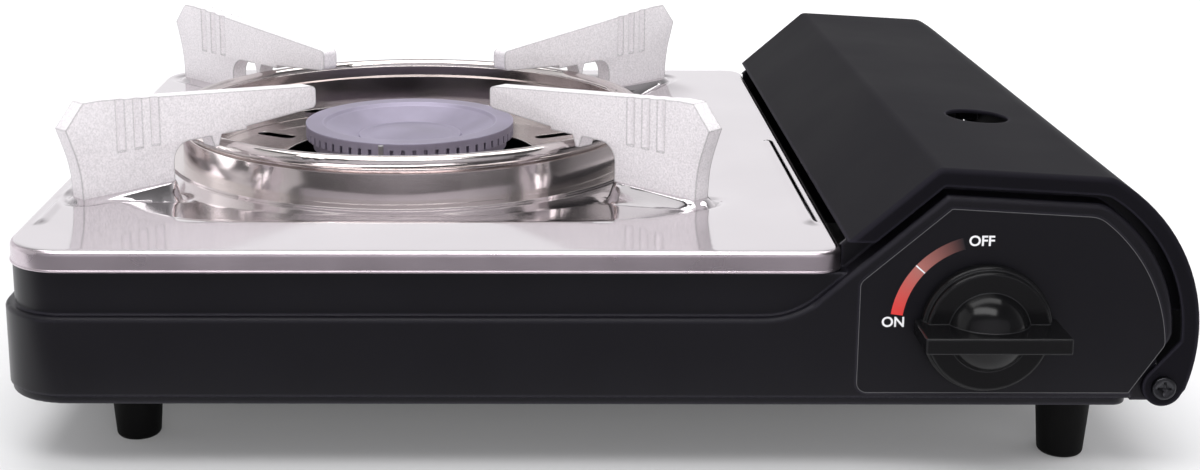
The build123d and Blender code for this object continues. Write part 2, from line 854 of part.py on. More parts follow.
def tube_piece(start, end, radius, end_radius=None):
    """Round piece of the mixing tube's line between two distances from the burner's axis."""
    length = end - start
    if end_radius is None or end_radius == radius:
        return along_tube(Pos(0, 0, start + length / 2) * Cylinder(radius, length))
    return along_tube(Pos(0, 0, start + length / 2) * Cone(radius, end_radius, length))


def burner_base():
    """Cast cup under the burner head, with the boss that the mixing tube meets."""
    wall = burner_wall
    neck = burner_neck_radius
    rim = burner_rim_radius
    outer = around_burner([
        (0, burner_floor_z), (neck, burner_floor_z), (neck, burner_cone_bottom_z),
        (rim, burner_cone_top_z), (rim, head_bottom_z), (0, head_bottom_z)])
    inner = around_burner([
        (0, burner_floor_z + wall), (neck - wall, burner_floor_z + wall),
        (neck - wall, burner_cone_bottom_z + wall / 2), (rim - wall, burner_cone_top_z + wall / 2),
        (rim - wall, head_bottom_z), (0, head_bottom_z)])
    boss_piece = tube_piece(0, tube_boss_reach, tube_radius + tube_wall)
    return outer + boss_piece - inner - tube_piece(0, tube_boss_reach, tube_radius - tube_wall)


def burner_head():
    """Ported head: thick rim, stepped bowl and a middle hole under the cap."""
    rim_inner = head_radius - head_rim_width
    floor_z = head_top_z - head_dish_depth
    step_z = head_top_z - head_step
    head = around_burner([
        (head_radius, head_bottom_z), (head_radius, head_top_z), (rim_inner, head_top_z),
        (rim_inner - head_step, step_z), (head_floor_radius, floor_z), (head_hole_radius, floor_z),
        (head_hole_radius, floor_z - head_sheet), (head_floor_radius, floor_z - head_sheet),
        (rim_inner - head_step - head_sheet, step_z - head_sheet), (rim_inner - head_sheet, head_bottom_z)])
    middle = head_radius - head_port_depth / 2
    port = Box(head_port_depth, head_port_width, port_height)
    port = Pos(middle, 0, head_bottom_z + port_height / 2) * port
    ports = [toward(count * 360 / head_port_count) * port for count in range(head_port_count)]
    return head - Compound(ports)


def burner_cap():
    """Low dome with a flange that rests in the head's dish."""
    dish_z = head_top_z - head_dish_depth
    edge = head_hole_radius
    low = dish_z + head_sheet / 2
    crown_radius = (edge ** 2 + cap_height ** 2) / (2 * cap_height)
    half_x = edge / 2
    half_z = low + cap_height - crown_radius + math.sqrt(crown_radius ** 2 - half_x ** 2)
    flange = edge + 2 * head_sheet
    crest = (0, 0, low + cap_height)
    lines = Polyline(crest, (0, 0, dish_z), (flange, 0, dish_z), (flange, 0, low), (edge, 0, low))
    crown = ThreePointArc((edge, 0, low), (half_x, 0, half_z), crest)
    return Pos(burner_x, burner_y, 0) * revolve(make_face(lines + crown), Axis.Z)


def mixing_tube():
    """Tube that brings gas and air to the burner, with a flared mouth."""
    start = tube_boss_reach
    flare = tube_end - mouth_length
    outer = tube_piece(start, flare, tube_radius) + tube_piece(flare, tube_end, tube_radius, mouth_radius)
    bore = tube_piece(start, flare, tube_radius - tube_wall)
    return outer - bore - tube_piece(flare, tube_end, tube_radius - tube_wall, mouth_radius - tube_wall)


def air_shutter():
    """Disc on the tube's mouth that holds the nozzle, with four air openings."""
    plate = tube_piece(tube_end, shutter_end, mouth_radius)
    plate -= tube_piece(tube_end, shutter_end, nozzle_radius + screw_clearance)
    middle = (nozzle_radius + mouth_radius) / 2
    for turn in range(0, 360, 90):
        place = Rot(0, 0, turn) * Pos(middle, 0, tube_end + shutter_sheet / 2)
        plate -= along_tube(place * Cylinder(nozzle_radius, shutter_sheet))
    return plate


def gas_nozzle():
    """Brass nozzle: tip in the tube's mouth, shank, hexagon and bore."""
    start = shutter_end - nozzle_length / 2
    shank = tube_piece(start + nozzle_tip, shutter_end, nozzle_radius)
    tip = tube_piece(start, start + nozzle_tip, nozzle_radius / 2, nozzle_radius)
    hexagon = along_tube(extrude(Pos(0, 0, shutter_end) * RegularPolygon(nozzle_hex, 6), nozzle_length / 2))
    bore = tube_piece(start, shutter_end + nozzle_length / 2, pipe_radius - pipe_wall)
    return shank + tip + hexagon - bore


def tube_point(distance):
    """Point on the mixing tube's axis at a distance from the burner's axis."""
    turn = math.radians(tube_angle)
    return (burner_x + distance * math.cos(turn), burner_y + distance * math.sin(turn), tube_axis_z)


def route(points, radius, section_radius):
    """Round rod along straight runs joined by arcs."""
    path = FilletPolyline(*points, radius=radius)
    start = Plane(origin=path @ 0, z_dir=path % 0)
    return sweep(start * Circle(section_radius), path=path)


def gas_pipe():
    """Pipe from the regulator's side to the nozzle."""
    start = tube_point(shutter_end + nozzle_length / 2)
    points = [start, tube_point(pipe_bend), (cartridge_x - regulator_half_width, pipe_y, tube_axis_z)]
    outer = route(points, pipe_bend_radius, pipe_radius)
    return outer - route(points, pipe_bend_radius, pipe_radius - pipe_wall)


def bridge(x, y, half_length, half_width, top):
    """Sheet bridge across X: top plate, two legs and two feet on the floor pan."""
    sheet = bracket_sheet
    shape = box(x - half_length, x + half_length, y - half_width, y + half_width, top - sheet, top)
    for side in (-1, 1):
        leg = x + side * (half_length - sheet / 2)
        shape += box(leg - sheet / 2, leg + sheet / 2, y - half_width, y + half_width, floor_z, top)
        foot_x = x + side * (half_length + bracket_foot / 2)
        shape += box(foot_x - bracket_foot / 2, foot_x + bracket_foot / 2, y - half_width, y + half_width,
                     floor_z, floor_z + sheet)
        shape -= disc(foot_x, y, floor_z, floor_z + sheet, screw_radius + screw_clearance)
    return shape


def bridge_screw_places(x, half_length):
    """X of a bridge's two screws."""
    reach = half_length + bracket_foot / 2
    return (x - reach, x + reach)


def bridge_screws(x, y, half_length):
    """The two screws of a bridge."""
    length = bracket_sheet + 2 * floor_sheet
    top = floor_z + bracket_sheet
    return [screw_down(place, y, top, length) for place in bridge_screw_places(x, half_length)]


def electrode_place():
    """Foot of the igniter's electrode beside the burner head."""
    turn = math.radians(electrode_turn)
    return (burner_x + electrode_reach * math.cos(turn), burner_y + electrode_reach * math.sin(turn))


def igniter_bracket():
    """Arm from the burner base to the electrode's insulator."""
    length = electrode_reach + 2 * insulator_radius
    low = burner_cone_bottom_z + igniter_arm_rise
    high = low + igniter_arm_sheet
    arm = toward(electrode_turn) * box(0, length, -igniter_arm_width / 2, igniter_arm_width / 2, low, high)
    solid_base = around_burner([
        (0, burner_floor_z), (burner_neck_radius, burner_floor_z), (burner_neck_radius, burner_cone_bottom_z),
        (burner_rim_radius, burner_cone_top_z), (burner_rim_radius, head_bottom_z), (0, head_bottom_z)])
    x, y = electrode_place()
    return arm - solid_base - disc(x, y, low, high, insulator_radius + screw_clearance)


def igniter_insulator():
    """Ceramic sleeve round the electrode."""
    x, y = electrode_place()
    sleeve = disc(x, y, insulator_bottom_z, burner_cone_top_z, insulator_radius)
    return sleeve - disc(x, y, insulator_bottom_z, burner_cone_top_z, electrode_radius + screw_clearance)


def igniter_electrode():
    """Steel rod whose tip sparks to the burner head."""
    x, y = electrode_place()
    return disc(x, y, insulator_bottom_z, head_top_z + electrode_rise, electrode_radius)


def igniter_wire():
    """Wire from the piezo unit along the floor pan to the insulator."""
    x, y = electrode_place()
    lead_x = sum(piezo_ends()) / 2
    points = [
        (lead_x, cam_middle_y, knob_z - piezo_height / 2), (lead_x, cam_middle_y, wire_z),
        (partition_x - 2 * wire_bend_radius, cam_middle_y, wire_z), (x, y - wire_turn, wire_z),
        (x, y, wire_z), (x, y, insulator_bottom_z)]
    return route(points, wire_bend_radius, wire_radius)


# ---------------------------------------------------------------- cartridge bay
def partition_wall():
    """Sheet between the burner and the cartridge, with vents and holes for pipe and wire."""
    right = partition_x + partition_sheet
    front = body_front + body_sheet + partition_front_gap
    back = body_back - housing_rim_depth
    wall = box(partition_x, right, front, back, floor_z, rim_z - body_sheet)
    hole_depth = 2 * partition_sheet
    hole = Rot(0, 90, 0) * Cylinder(pipe_radius + 2 * screw_clearance, hole_depth)
    wall -= Pos(partition_x, pipe_y, tube_axis_z) * hole
    wire_hole = Rot(0, 90, 0) * Cylinder(wire_radius + 2 * screw_clearance, hole_depth)
    wall -= Pos(partition_x, cam_middle_y, wire_z) * wire_hole
    wall -= box(partition_x, right, heat_front, heat_back, floor_z, floor_z + heat_sheet)
    vent = Rot(0, 90, 0) * Cylinder(vent_radius, hole_depth)
    for count in range(vent_count):
        wall -= Pos(partition_x, bay_front + count * vent_pitch, (floor_z + rim_z) / 2) * vent
    return wall


def heat_panel():
    """Sheet that warms the cartridge: along the floor pan and down into the trough."""
    wall = cartridge_x - trough_half_width + floor_sheet
    far = cartridge_x + trough_half_width - floor_sheet
    left = burner_x + heat_reach
    strip = box(left, wall + heat_sheet, heat_front, heat_back, floor_z, floor_z + heat_sheet)
    strip += box(wall, wall + heat_sheet, heat_front, heat_back, trough_z, floor_z + heat_sheet)
    return strip + box(wall, far, heat_front, heat_back, trough_z, trough_z + heat_sheet)


def cartridge_guide():
    """Angle in the trough's front end that stops the cartridge's shoulder."""
    left = cartridge_x - guide_half_width
    right = cartridge_x + guide_half_width
    front = bay_front + 2 * floor_sheet
    plate = box(left, right, front, front + floor_sheet, trough_z, trough_z + guide_height)
    plate += box(left, right, front, front + bracket_foot, trough_z, trough_z + heat_sheet)
    return plate


def regulator_body():
    """Die-cast block: magnet flange and inlet behind, shaft boss in front, outlet on the left."""
    left = cartridge_x - regulator_half_width
    right = cartridge_x + regulator_half_width
    block = box(left, right, regulator_front, regulator_back, regulator_bottom_z, regulator_top_z)
    block = fillet(block.edges().filter_by(Axis.Y), floor_sheet)
    block += rod_y(cartridge_x, cartridge_z, regulator_back - flange_thickness, regulator_back, magnet_radius)
    block += rod_y(cartridge_x, cartridge_z, regulator_back, regulator_back + inlet_length, inlet_radius)
    boss_front = regulator_front - shaft_boss_length
    block += rod_y(knob_x, knob_z, boss_front, regulator_front, shaft_boss_radius)
    shaft_end = body_front + shaft_depth + running_clearance
    block -= rod_y(knob_x, knob_z, boss_front, shaft_end, shaft_radius + running_clearance)
    inlet_end = regulator_back + inlet_length
    return block - rod_y(cartridge_x, cartridge_z, inlet_end - inlet_hole_depth, inlet_end, inlet_hole_radius)


def cap_screw_places():
    """Places of the diaphragm cap's four screws."""
    reach = cap_screw_circle * math.sqrt(0.5)
    middle_y = regulator_middle_y - cap_shift
    return [(cartridge_x + x * reach, middle_y + y * reach) for x in (-1, 1) for y in (-1, 1)]


def regulator_cap():
    """Round cap over the regulator's diaphragm."""
    middle_y = regulator_middle_y - cap_shift
    cap = disc(cartridge_x, middle_y, regulator_top_z, regulator_top_z + cap_thickness, cap_radius)
    cap = fillet(cap.edges().group_by(Axis.Z)[-1], floor_sheet)
    flange_front = regulator_back - flange_thickness - screw_clearance
    cap -= rod_y(cartridge_x, cartridge_z, flange_front, regulator_back, magnet_radius + screw_clearance)
    top = regulator_top_z + cap_thickness
    for x, y in cap_screw_places():
        cap -= disc(x, y, regulator_top_z, top, cap_screw_radius + screw_clearance)
    return cap


def regulator_cap_screws():
    """Four pan-head screws on the cap."""
    top = regulator_top_z + cap_thickness
    head = screw_head_height / 2
    return [
        disc(x, y, top, top + head, 2 * cap_screw_radius) + disc(x, y, regulator_top_z, top, cap_screw_radius)
        for x, y in cap_screw_places()]


def regulator_magnet():
    """Ring magnet that holds the cartridge's collar."""
    ring = rod_y(cartridge_x, cartridge_z, regulator_back, bay_front, magnet_radius)
    return ring - rod_y(cartridge_x, cartridge_z, regulator_back, bay_front, magnet_hole_radius)


def regulator_seal():
    """Rubber ring on the inlet."""
    start = regulator_back + inlet_length
    ring = rod_y(cartridge_x, cartridge_z, start, start + seal_thickness, seal_radius)
    return ring - rod_y(cartridge_x, cartridge_z, start, start + seal_thickness, inlet_hole_radius)


# ---------------------------------------------------------------- controls
def shaft_bush():
    """Bush in the front wall that the control shaft turns in."""
    bush = rod_y(knob_x, knob_z, body_front, body_front + bush_length, bush_radius - screw_clearance)
    inner_face = body_front + body_sheet
    bush += rod_y(knob_x, knob_z, inner_face, inner_face + bush_flange, bush_flange_radius)
    bore_radius = shaft_radius + running_clearance
    return bush - rod_y(knob_x, knob_z, body_front, body_front + bush_length, bore_radius)


def control_shaft():
    """Shaft from the knob to the regulator's valve."""
    socket_end = body_front - knob_reach + knob_socket_end
    return rod_y(knob_x, knob_z, socket_end, body_front + shaft_depth, shaft_radius)


def cam_radius_at(turn):
    """Cam's radius at an angle from +X, in degrees, which faces the plunger when the knob is there."""
    return cam_rest_radius - cam_rise_per_turn * turn / 360


def control_cam():
    """Spiral cam on the shaft that works the piezo plunger."""
    first = -knob_past_on - cam_margin
    last = knob_to_off + cam_margin
    spiral = []
    for count in range(cam_points + 1):
        turn = first + (last - first) * count / cam_points
        radius = cam_radius_at(turn)
        spiral.append((radius * math.cos(math.radians(turn)), 0, radius * math.sin(math.radians(turn))))
    edge = Spline(*spiral)
    sector = make_face(edge + Polyline(spiral[-1], (0, 0, 0), spiral[0]))
    cam = Pos(knob_x, 0, knob_z) * along_y(sector, cam_front, cam_front + cam_thickness)
    cam += rod_y(knob_x, knob_z, cam_front, cam_front + cam_thickness, cam_radius_at(last))
    return cam - rod_y(knob_x, knob_z, cam_front, cam_front + cam_thickness, shaft_radius + screw_clearance)


def plunger_tip_x():
    """Where the plunger's round tip stands, a gap away from the cam at rest."""
    return knob_x + cam_rest_radius + cam_gap


def piezo_plunger():
    """Round-ended plunger that the cam pushes into the piezo unit."""
    tip = plunger_tip_x()
    length = plunger_exposed + plunger_hidden
    straight = length - plunger_radius
    rod = Pos(tip + plunger_radius + straight / 2, cam_middle_y, knob_z) * Rot(0, 90, 0)
    nose = Pos(tip + plunger_radius, cam_middle_y, knob_z) * Sphere(plunger_radius)
    return rod * Cylinder(plunger_radius, straight) + nose


def piezo_ends():
    """Left and right end of the piezo unit, which stands against the body's right side."""
    return (plunger_tip_x() + plunger_exposed, body_floor_right - body_sheet - piezo_side_gap)


def piezo_igniter():
    """Piezo unit fixed behind the front wall, with the plunger's bore."""
    left, right = piezo_ends()
    half = piezo_height / 2
    front = body_front + body_sheet
    unit = box(left, right, front, cam_middle_y + half, knob_z - half, knob_z + half)
    unit = fillet(unit.edges().filter_by(Axis.X), piezo_edge_radius)
    depth = plunger_hidden + piezo_back_wall
    bore = Rot(0, 90, 0) * Cylinder(plunger_radius + plunger_play, depth)
    return unit - Pos(left + depth / 2, cam_middle_y, knob_z) * bore


def knob():
    """Knob: skirt, disc, dome and the long grip bar, with the shaft's socket."""
    back = body_front - knob_gap
    skirt_front = back - knob_skirt_height
    disc_front = skirt_front - knob_disc_height
    skirt = rod_y(knob_x, knob_z, skirt_front, back, knob_skirt_radius)
    skirt = fillet(skirt.edges().group_by(Axis.Y)[0], knob_skirt_edge)
    plate = rod_y(knob_x, knob_z, disc_front, skirt_front, knob_disc_radius)
    plate = fillet(plate.edges().group_by(Axis.Y)[0], knob_disc_edge)
    dome_radius = (knob_dome_radius ** 2 + knob_dome_height ** 2) / (2 * knob_dome_height)
    dome = Pos(knob_x, disc_front - knob_dome_height + dome_radius, knob_z) * Sphere(dome_radius)
    dome &= rod_y(knob_x, knob_z, disc_front - knob_dome_height, disc_front, knob_dome_radius)
    half = knob_bar_width / 2
    front = body_front - knob_reach
    bar = box(knob_x - half, knob_x + half, front, back,
              knob_z - knob_bar_height / 2, knob_z + knob_bar_height / 2)
    bar = fillet(bar.edges(), knob_bar_edge)
    socket = rod_y(knob_x, knob_z, front + knob_socket_end, back, shaft_radius + screw_clearance)
    return skirt + plate + dome + bar - socket


# ---------------------------------------------------------------- cover and hinge
def ear_points():
    """Web of the cover's end flange between its lip and the hinge's ear."""
    waist_z = hinge_z + hinge_waist_height
    slanted = hinge_ear_radius * math.sqrt(0.5)
    skin = cover_sheet / 2
    return [
        (arc_at(cover_lip, waist_z), waist_z),
        (hinge_x - slanted, hinge_z + slanted),
        (hinge_x, hinge_z - hinge_ear_radius),
        (hinge_x + slanted, hinge_z - slanted),
        (arc_at(skin, cover_bottom_z), cover_bottom_z),
        (arc_at(skin, waist_z), waist_z)]


def hood(inset, front, back, past_end):
    """Solid under the cover's profile; the inner ones run past its ends so that they cut through."""
    left_z = profile_point(inset, "left")[1] - past_end
    left = (slant_at(inset, left_z), left_z)
    bottom_z = cover_bottom_z - past_end
    right_end = [(arc_at(inset, bottom_z), bottom_z), (cover_arc_x, bottom_z)]
    left_end = [(left[0], bottom_z), left] if past_end else [(cover_fold_x, cover_left_z), left]
    return along_y(hood_face(inset, left_end, right_end), front, back)


def cartridge_cover():
    """Hinged lid over the cartridge: bent sheet, both end lips and the finger hole."""
    sheet = hood(0, body_front, body_back, 0)
    sheet = fillet(sheet.edges().filter_by(is_cover_end), cover_edge_radius)
    sheet -= hood(cover_sheet, body_front, body_back, past_lip)
    cover = sheet + cover_flange_inside() + to_back(cover_flange_inside())
    hole_x = cover_fold_x + finger_hole_from_fold
    hole_y = body_front + finger_hole_from_front
    return cover - disc(hole_x, hole_y, cover_left_z, cover_fold_z + cut_past, finger_hole_radius)


def is_cover_end(edge):
    """Whether an edge is one of the cover's long end edges that the press rounds."""
    middle = edge @ 0.5
    at_end = min(abs(middle.Y - body_front), abs(middle.Y - body_back)) < edge_tolerance
    above_left = middle.X > cover_arc_x or middle.Z > cover_left_z + edge_tolerance
    return at_end and above_left and middle.Z > cover_bottom_z + edge_tolerance


def cover_flange_inside():
    """Front lip inside the rounded end of the sheet, with its web and ear."""
    back = body_front + cover_lip_depth
    rounded = hood(0, body_front, body_front + 4 * cover_lip_depth, 0)
    rounded = fillet(rounded.edges().filter_by(is_cover_end), cover_edge_radius)
    web = along_y(upright_face(ear_points()), body_front, back)
    ear = rod_y(hinge_x, hinge_z, body_front, back, hinge_ear_radius)
    hole = rod_y(hinge_x, hinge_z, body_front, back, hinge_pin_radius + running_clearance)
    lip = rounded & box(tray_right, body_right + cut_past, body_front, back, 0, cover_fold_z)
    return lip - hood(cover_lip, body_front, back, past_lip) + web + ear - hole


def hinge_bracket():
    """Front hinge bracket: ear behind the cover's lip, guard behind its gap and a tab on the body."""
    front = body_front + cover_lip_depth + hinge_side_gap
    back = front + hinge_bracket_sheet
    ear_radius = hinge_ear_radius - bracket_ear_margin
    ear = rod_y(hinge_x, hinge_z, front, back, ear_radius)
    low = hinge_z - ear_radius
    guard_top = hinge_z + bracket_guard_height
    arm = box(body_floor_right, hinge_x, front, back, low, hinge_z + hinge_pin_radius / 2)
    guard = box(body_floor_right, body_floor_right + bracket_guard_width, front, back, low, guard_top)
    tab = box(body_floor_right, body_floor_right + hinge_bracket_sheet, front, back + 2 * ear_radius,
              low, guard_top)
    hole = rod_y(hinge_x, hinge_z, front, back, hinge_pin_radius + screw_clearance / 2)
    return ear + arm + (guard + tab - housing_block()) - hole


def hinge_screw():
    """Front shoulder screw that the cover turns on."""
    head_back = body_front - running_clearance
    shank_end = body_front + cover_lip_depth + hinge_side_gap + hinge_bracket_sheet + screw_head_height
    head = rod_y(hinge_x, hinge_z, head_back - hinge_head_height, head_back, hinge_head_radius)
    head = fillet(head.edges().group_by(Axis.Y)[0], hinge_head_height / 3)
    return head + rod_y(hinge_x, hinge_z, head_back, shank_end, hinge_pin_radius)


# ---------------------------------------------------------------- nodes
def all_nodes():
    """Every node of the stove, by name; a list is a group of like pieces."""
    bracket = hinge_bracket()
    screw = hinge_screw()
    nodes = {
        "body_shell": body_shell(),
        "base_plate": base_plate(),
        "foot_screws": foot_screws(),
        "control_panel": control_panel(),
        "top_plate": top_plate(),
        "windshield_ring": windshield_ring(),
        "burner_surround": burner_surround(),
        "surround_rim": surround_rim(),
        "pan_support_screws": pan_support_screws(),
        "burner_base": burner_base(),
        "burner_head": burner_head(),
        "burner_cap": burner_cap(),
        "burner_bracket": bridge(*burner_bridge),
        "burner_screws": bridge_screws(burner_x, burner_y, burner_bridge_length / 2),
        "mixing_tube": mixing_tube(),
        "air_shutter": air_shutter(),
        "gas_nozzle": gas_nozzle(),
        "gas_pipe": gas_pipe(),
        "igniter_bracket": igniter_bracket(),
        "igniter_insulator": igniter_insulator(),
        "igniter_electrode": igniter_electrode(),
        "igniter_wire": igniter_wire(),
        "piezo_igniter": piezo_igniter(),
        "piezo_plunger": piezo_plunger(),
        "partition_wall": partition_wall(),
        "heat_panel": heat_panel(),
        "cartridge_guide": cartridge_guide(),
        "regulator_body": regulator_body(),
        "regulator_cap": regulator_cap(),
        "regulator_cap_screws": regulator_cap_screws(),
        "regulator_magnet": regulator_magnet(),
        "regulator_seal": regulator_seal(),
        "regulator_bracket": bridge(*regulator_bridge),
        "regulator_screws": bridge_screws(cartridge_x, regulator_middle_y, regulator_bridge_length / 2),
        "shaft_bush": shaft_bush(),
        "control_shaft": control_shaft(),
        "control_cam": control_cam(),
        "knob": knob(),
        "cartridge_cover": cartridge_cover(),
        "hinge_bracket_front": bracket,
        "hinge_bracket_rear": to_back(bracket),
        "cover_hinge_screws": [screw, to_back(screw)],
    }
    for name, (x, y) in foot_places().items():
        nodes["foot_" + name] = foot(x, y)
    for name, angle in support_angles().items():
        nodes["pan_support_" + name] = pan_support(angle)
    return nodes


def main():
    """Write one STEP file per node."""
    os.makedirs("parts", exist_ok=True)
    for name, shape in all_nodes().items():
        solids = shape if isinstance(shape, list) else [shape]
        whole = Compound(solids) if len(solids) > 1 else solids[0]
        export_step(whole, "parts/" + name + ".step")


if __name__ == "__main__":
    main()
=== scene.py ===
import math

import bmesh
import bpy
from bpy.props import FloatProperty, FloatVectorProperty, PointerProperty
from mathutils import Matrix, Vector


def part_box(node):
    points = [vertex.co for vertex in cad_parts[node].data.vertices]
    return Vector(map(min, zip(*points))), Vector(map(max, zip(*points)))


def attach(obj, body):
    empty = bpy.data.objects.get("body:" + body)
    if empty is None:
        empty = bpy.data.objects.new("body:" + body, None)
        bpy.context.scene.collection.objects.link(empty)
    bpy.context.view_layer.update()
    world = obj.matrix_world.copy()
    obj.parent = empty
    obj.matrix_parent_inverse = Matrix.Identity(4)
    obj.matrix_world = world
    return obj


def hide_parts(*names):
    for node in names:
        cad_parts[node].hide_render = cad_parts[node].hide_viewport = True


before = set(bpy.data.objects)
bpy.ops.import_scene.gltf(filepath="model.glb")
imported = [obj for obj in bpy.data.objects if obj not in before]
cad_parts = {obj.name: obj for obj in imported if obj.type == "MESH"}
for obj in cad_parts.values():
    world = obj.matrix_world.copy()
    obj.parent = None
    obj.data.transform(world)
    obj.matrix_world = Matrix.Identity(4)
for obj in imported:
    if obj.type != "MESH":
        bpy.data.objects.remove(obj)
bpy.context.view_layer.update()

bl_info = {
    "name": "Cassette stove dressing",
    "version": (1, 0, 0),
    "blender": (4, 5, 0),
    "location": "View3D > Sidebar > Stove",
    "description": "Finishes and detailed pieces of a butane cassette stove round its packed frame",
    "category": "Object",
}

MM = 0.001


# ---------------------------------------------------------------- places read from the frame
def middle_of(node):
    """Middle of a CAD node's box."""
    low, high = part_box(node)
    return (low + high) / 2


TRAY_LOW, TRAY_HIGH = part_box("top_plate")
PANEL_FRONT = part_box("control_panel")[0].y
BURNER = middle_of("windshield_ring")
KNOB_AXIS = middle_of("knob")

# ---------------------------------------------------------------- dial, in degrees round the knob
ARC_ON = 172.6
ARC_TICK = 138.6
ARC_OFF = 106.0
DIAL_WORDS = (              # each word's middle, across and up from the knob's axis
    ("ON", (-25.3 * MM, 1.1 * MM)),
    ("OFF", (-2.0 * MM, 24.4 * MM)))
WORD_WEIGHT = 0.022         # how much the letters are thickened, as a share of their size
ARC_MIDDLE = (0.42, 0.15, 0.13, 1.0)
ARC_END = (0.012, 0.012, 0.015, 1.0)

# ---------------------------------------------------------------- steps and tolerances of meshes
ARM_TURNS = (45, 135, 225, 315)     # degrees round the burner
WALL_BLEND = 0.10           # rounded share at each end of the dish's wall
BED_LOOPS = 6               # loops from the middle hole to the end of the dish's bed
WALL_LOOPS = 24             # loops up the dish's wall
FLAT_LOOPS = 22             # loops from the dish's mouth to the folded edge
FOLD_STEPS = 7
HEM_STEPS = 8
HALVINGS = 22               # how often a crossing's distance is halved
ARC_STEPS = 48
PLACE_DIGITS = 7            # digits by which an extruded vertex is found again
ARC_WELD = 0.001 * MM
CAD_WELD = 0.002 * MM
WORD_WELD = 1e-5            # in the letters' own units
FACING = 0.99               # least part of a normal along Y for a face that looks that way
PANEL_REACH = 0.01 * MM     # how far a face may lie from the panel's front
SCREW_REACH = 0.05 * MM     # how far a face may lie from a screw's end
RECESS_REACH = 0.72         # a recess's half length, as a share of its head's radius
RECESS_ARM = 0.22           # half its arms' width, as a share of its half length
RECESS_DEPTH = 0.9 * MM


# ---------------------------------------------------------------- sizes and colours
def length(name, description, default):
    """A size in metres that a user may change."""
    return FloatProperty(
        name=name, description=description, default=default, unit="LENGTH", subtype="DISTANCE")


def colour(name, description, default):
    """A linear colour that a user may change."""
    return FloatVectorProperty(
        name=name, description=description, default=default, subtype="COLOR", size=3, min=0.0,
        max=1.0)


class StoveSizes(bpy.types.PropertyGroup):
    """Sizes of the details that are added round the frame."""
    arm_edge: length("Arm edge", "Rounding of the cast arms' edges", 0.7 * MM)
    arm_thickness: length("Arm thickness", "Thickness of the cast arms", 6.0 * MM)
    foot_from: length("Foot from", "Burner's axis to the near end of an arm's foot", 100.6 * MM)
    foot_to: length("Foot to", "Burner's axis to the far end of an arm's foot", 133.6 * MM)
    plate_sheet: length("Plate sheet", "Thickness of the drip tray's sheet", 0.6 * MM)
    plate_edge: length("Plate edge", "Radius of the drip tray's folded edge", 1.6 * MM)
    plate_skirt: length("Skirt height", "Height of the drip tray's edge", 6.1 * MM)
    plate_hem: length("Plate hem", "Radius of the bead along the skirt's foot", 0.35 * MM)
    plate_corner_left: length("Left corners", "Plan radius of the tray's left corners", 17.4 * MM)
    plate_corner_right: length("Right corners", "Plan radius of the tray's right corners", 8.0 * MM)
    plate_hole: length("Plate hole", "Radius of the drip tray's middle hole", 74.0 * MM)
    dish_depth: length("Dish depth", "Depth of the drip tray's dish", 6.7 * MM)
    dish_left: length("Dish left margin", "Plate edge to dish at the left", 14.9 * MM)
    dish_right: length("Dish right margin", "Plate edge to dish at the right", 18.9 * MM)
    dish_front: length("Dish front margin", "Plate edge to dish at the front", 32.0 * MM)
    dish_back: length("Dish back margin", "Plate edge to dish at the back", 10.85 * MM)
    dish_corner: length("Dish corner", "Plan radius of the dish's corners", 42.0 * MM)
    dish_bed: length("Dish bed", "Half the width of the dish's flat bed", 88.0 * MM)
    dish_bed_corner: length("Bed corner", "Plan radius of the bed's corners", 70.0 * MM)
    boss_margin: length("Boss margin", "How far a boss stands out round an arm's foot", 3.6 * MM)
    boss_edge: length("Boss edge", "Width of a boss's rounded side", 2.4 * MM)
    boss_rise: length("Boss rise", "How far a boss stands over the plate", 0.5 * MM)
    boss_moat: length("Boss moat", "Width of the soft dip round a boss", 3.5 * MM)
    boss_dip: length("Boss dip", "Depth of the soft dip round a boss", 0.8 * MM)
    rib_length: length("Rib length", "Length of the two long ribs", 105.0 * MM)
    rib_width: length("Rib width", "Width of the two long ribs", 4.0 * MM)
    rib_height: length("Rib height", "Height of the two long ribs", 0.8 * MM)
    rib_front: length("Rib from front", "Front edge to a rib", 28.0 * MM)
    rib_side: length("Rib from side", "Side edge to the middle of a rib", 5.2 * MM)
    arc_inner: length("Arc inner radius", "Inner radius of the dial's arc", 22.9 * MM)
    arc_outer: length("Arc outer radius", "Outer radius of the dial's arc", 26.2 * MM)
    mark_height: length("Lettering height", "Height of the dial's capitals", 3.0 * MM)
    mark_width: length("Mark width", "Width of the tick, and twice the panel's outline", 0.4 * MM)
    print_depth: length("Print depth", "How far the print stands out of the panel", 0.05 * MM)


class StoveColours(bpy.types.PropertyGroup):
    """Colours of the stove's finishes."""
    enamel: colour("Enamel", "Body and cover", (0.0062, 0.0057, 0.0082))
    film: colour("Panel film", "Control panel", (0.0056, 0.0052, 0.0076))
    plate: colour("Plate", "Pressed stainless steel", (0.77, 0.735, 0.755))
    # Darker than the plate, though it is the same steel sheet: painted shade for the dim
    # surroundings that the brushed skirt mirrors.
    skirt: colour("Skirt", "Brushed edge of the drip tray", (0.62, 0.55, 0.59))
    ring: colour("Ring", "Polished stainless steel", (0.72, 0.67, 0.66))
    cast: colour("Cast arms", "Grained enamel of the pan supports", (0.80, 0.765, 0.79))
    # Grey cast alloy with a lilac tint that is painted light: the blue glow of the flames, which
    # are left out.
    burner: colour("Burner", "Matt cast alloy of the burner head", (0.35, 0.32, 0.41))
    plastic: colour("Plastic", "Knob and inner mouldings", (0.0050, 0.0050, 0.0055))
    rubber: colour("Rubber", "Feet", (0.0025, 0.0025, 0.0025))
    red: colour("Dial red", "Arc at ON", (0.78, 0.045, 0.040))
    # Pale grey line along the panel's edge: a painted highlight.
    outline: colour("Panel outline", "Thin line along the panel's edge", (0.10, 0.10, 0.105))
    white: colour("Dial white", "Lettering and tick", (0.86, 0.86, 0.88))
    floor: colour("Floor", "Floor and backdrop", (0.73, 0.73, 0.74))


# ---------------------------------------------------------------- materials
def start_material(name):
    """New material with its node tree and shader."""
    material = bpy.data.materials.new(name)
    material.use_nodes = True
    tree = material.node_tree
    return material, tree, tree.nodes["Principled BSDF"]


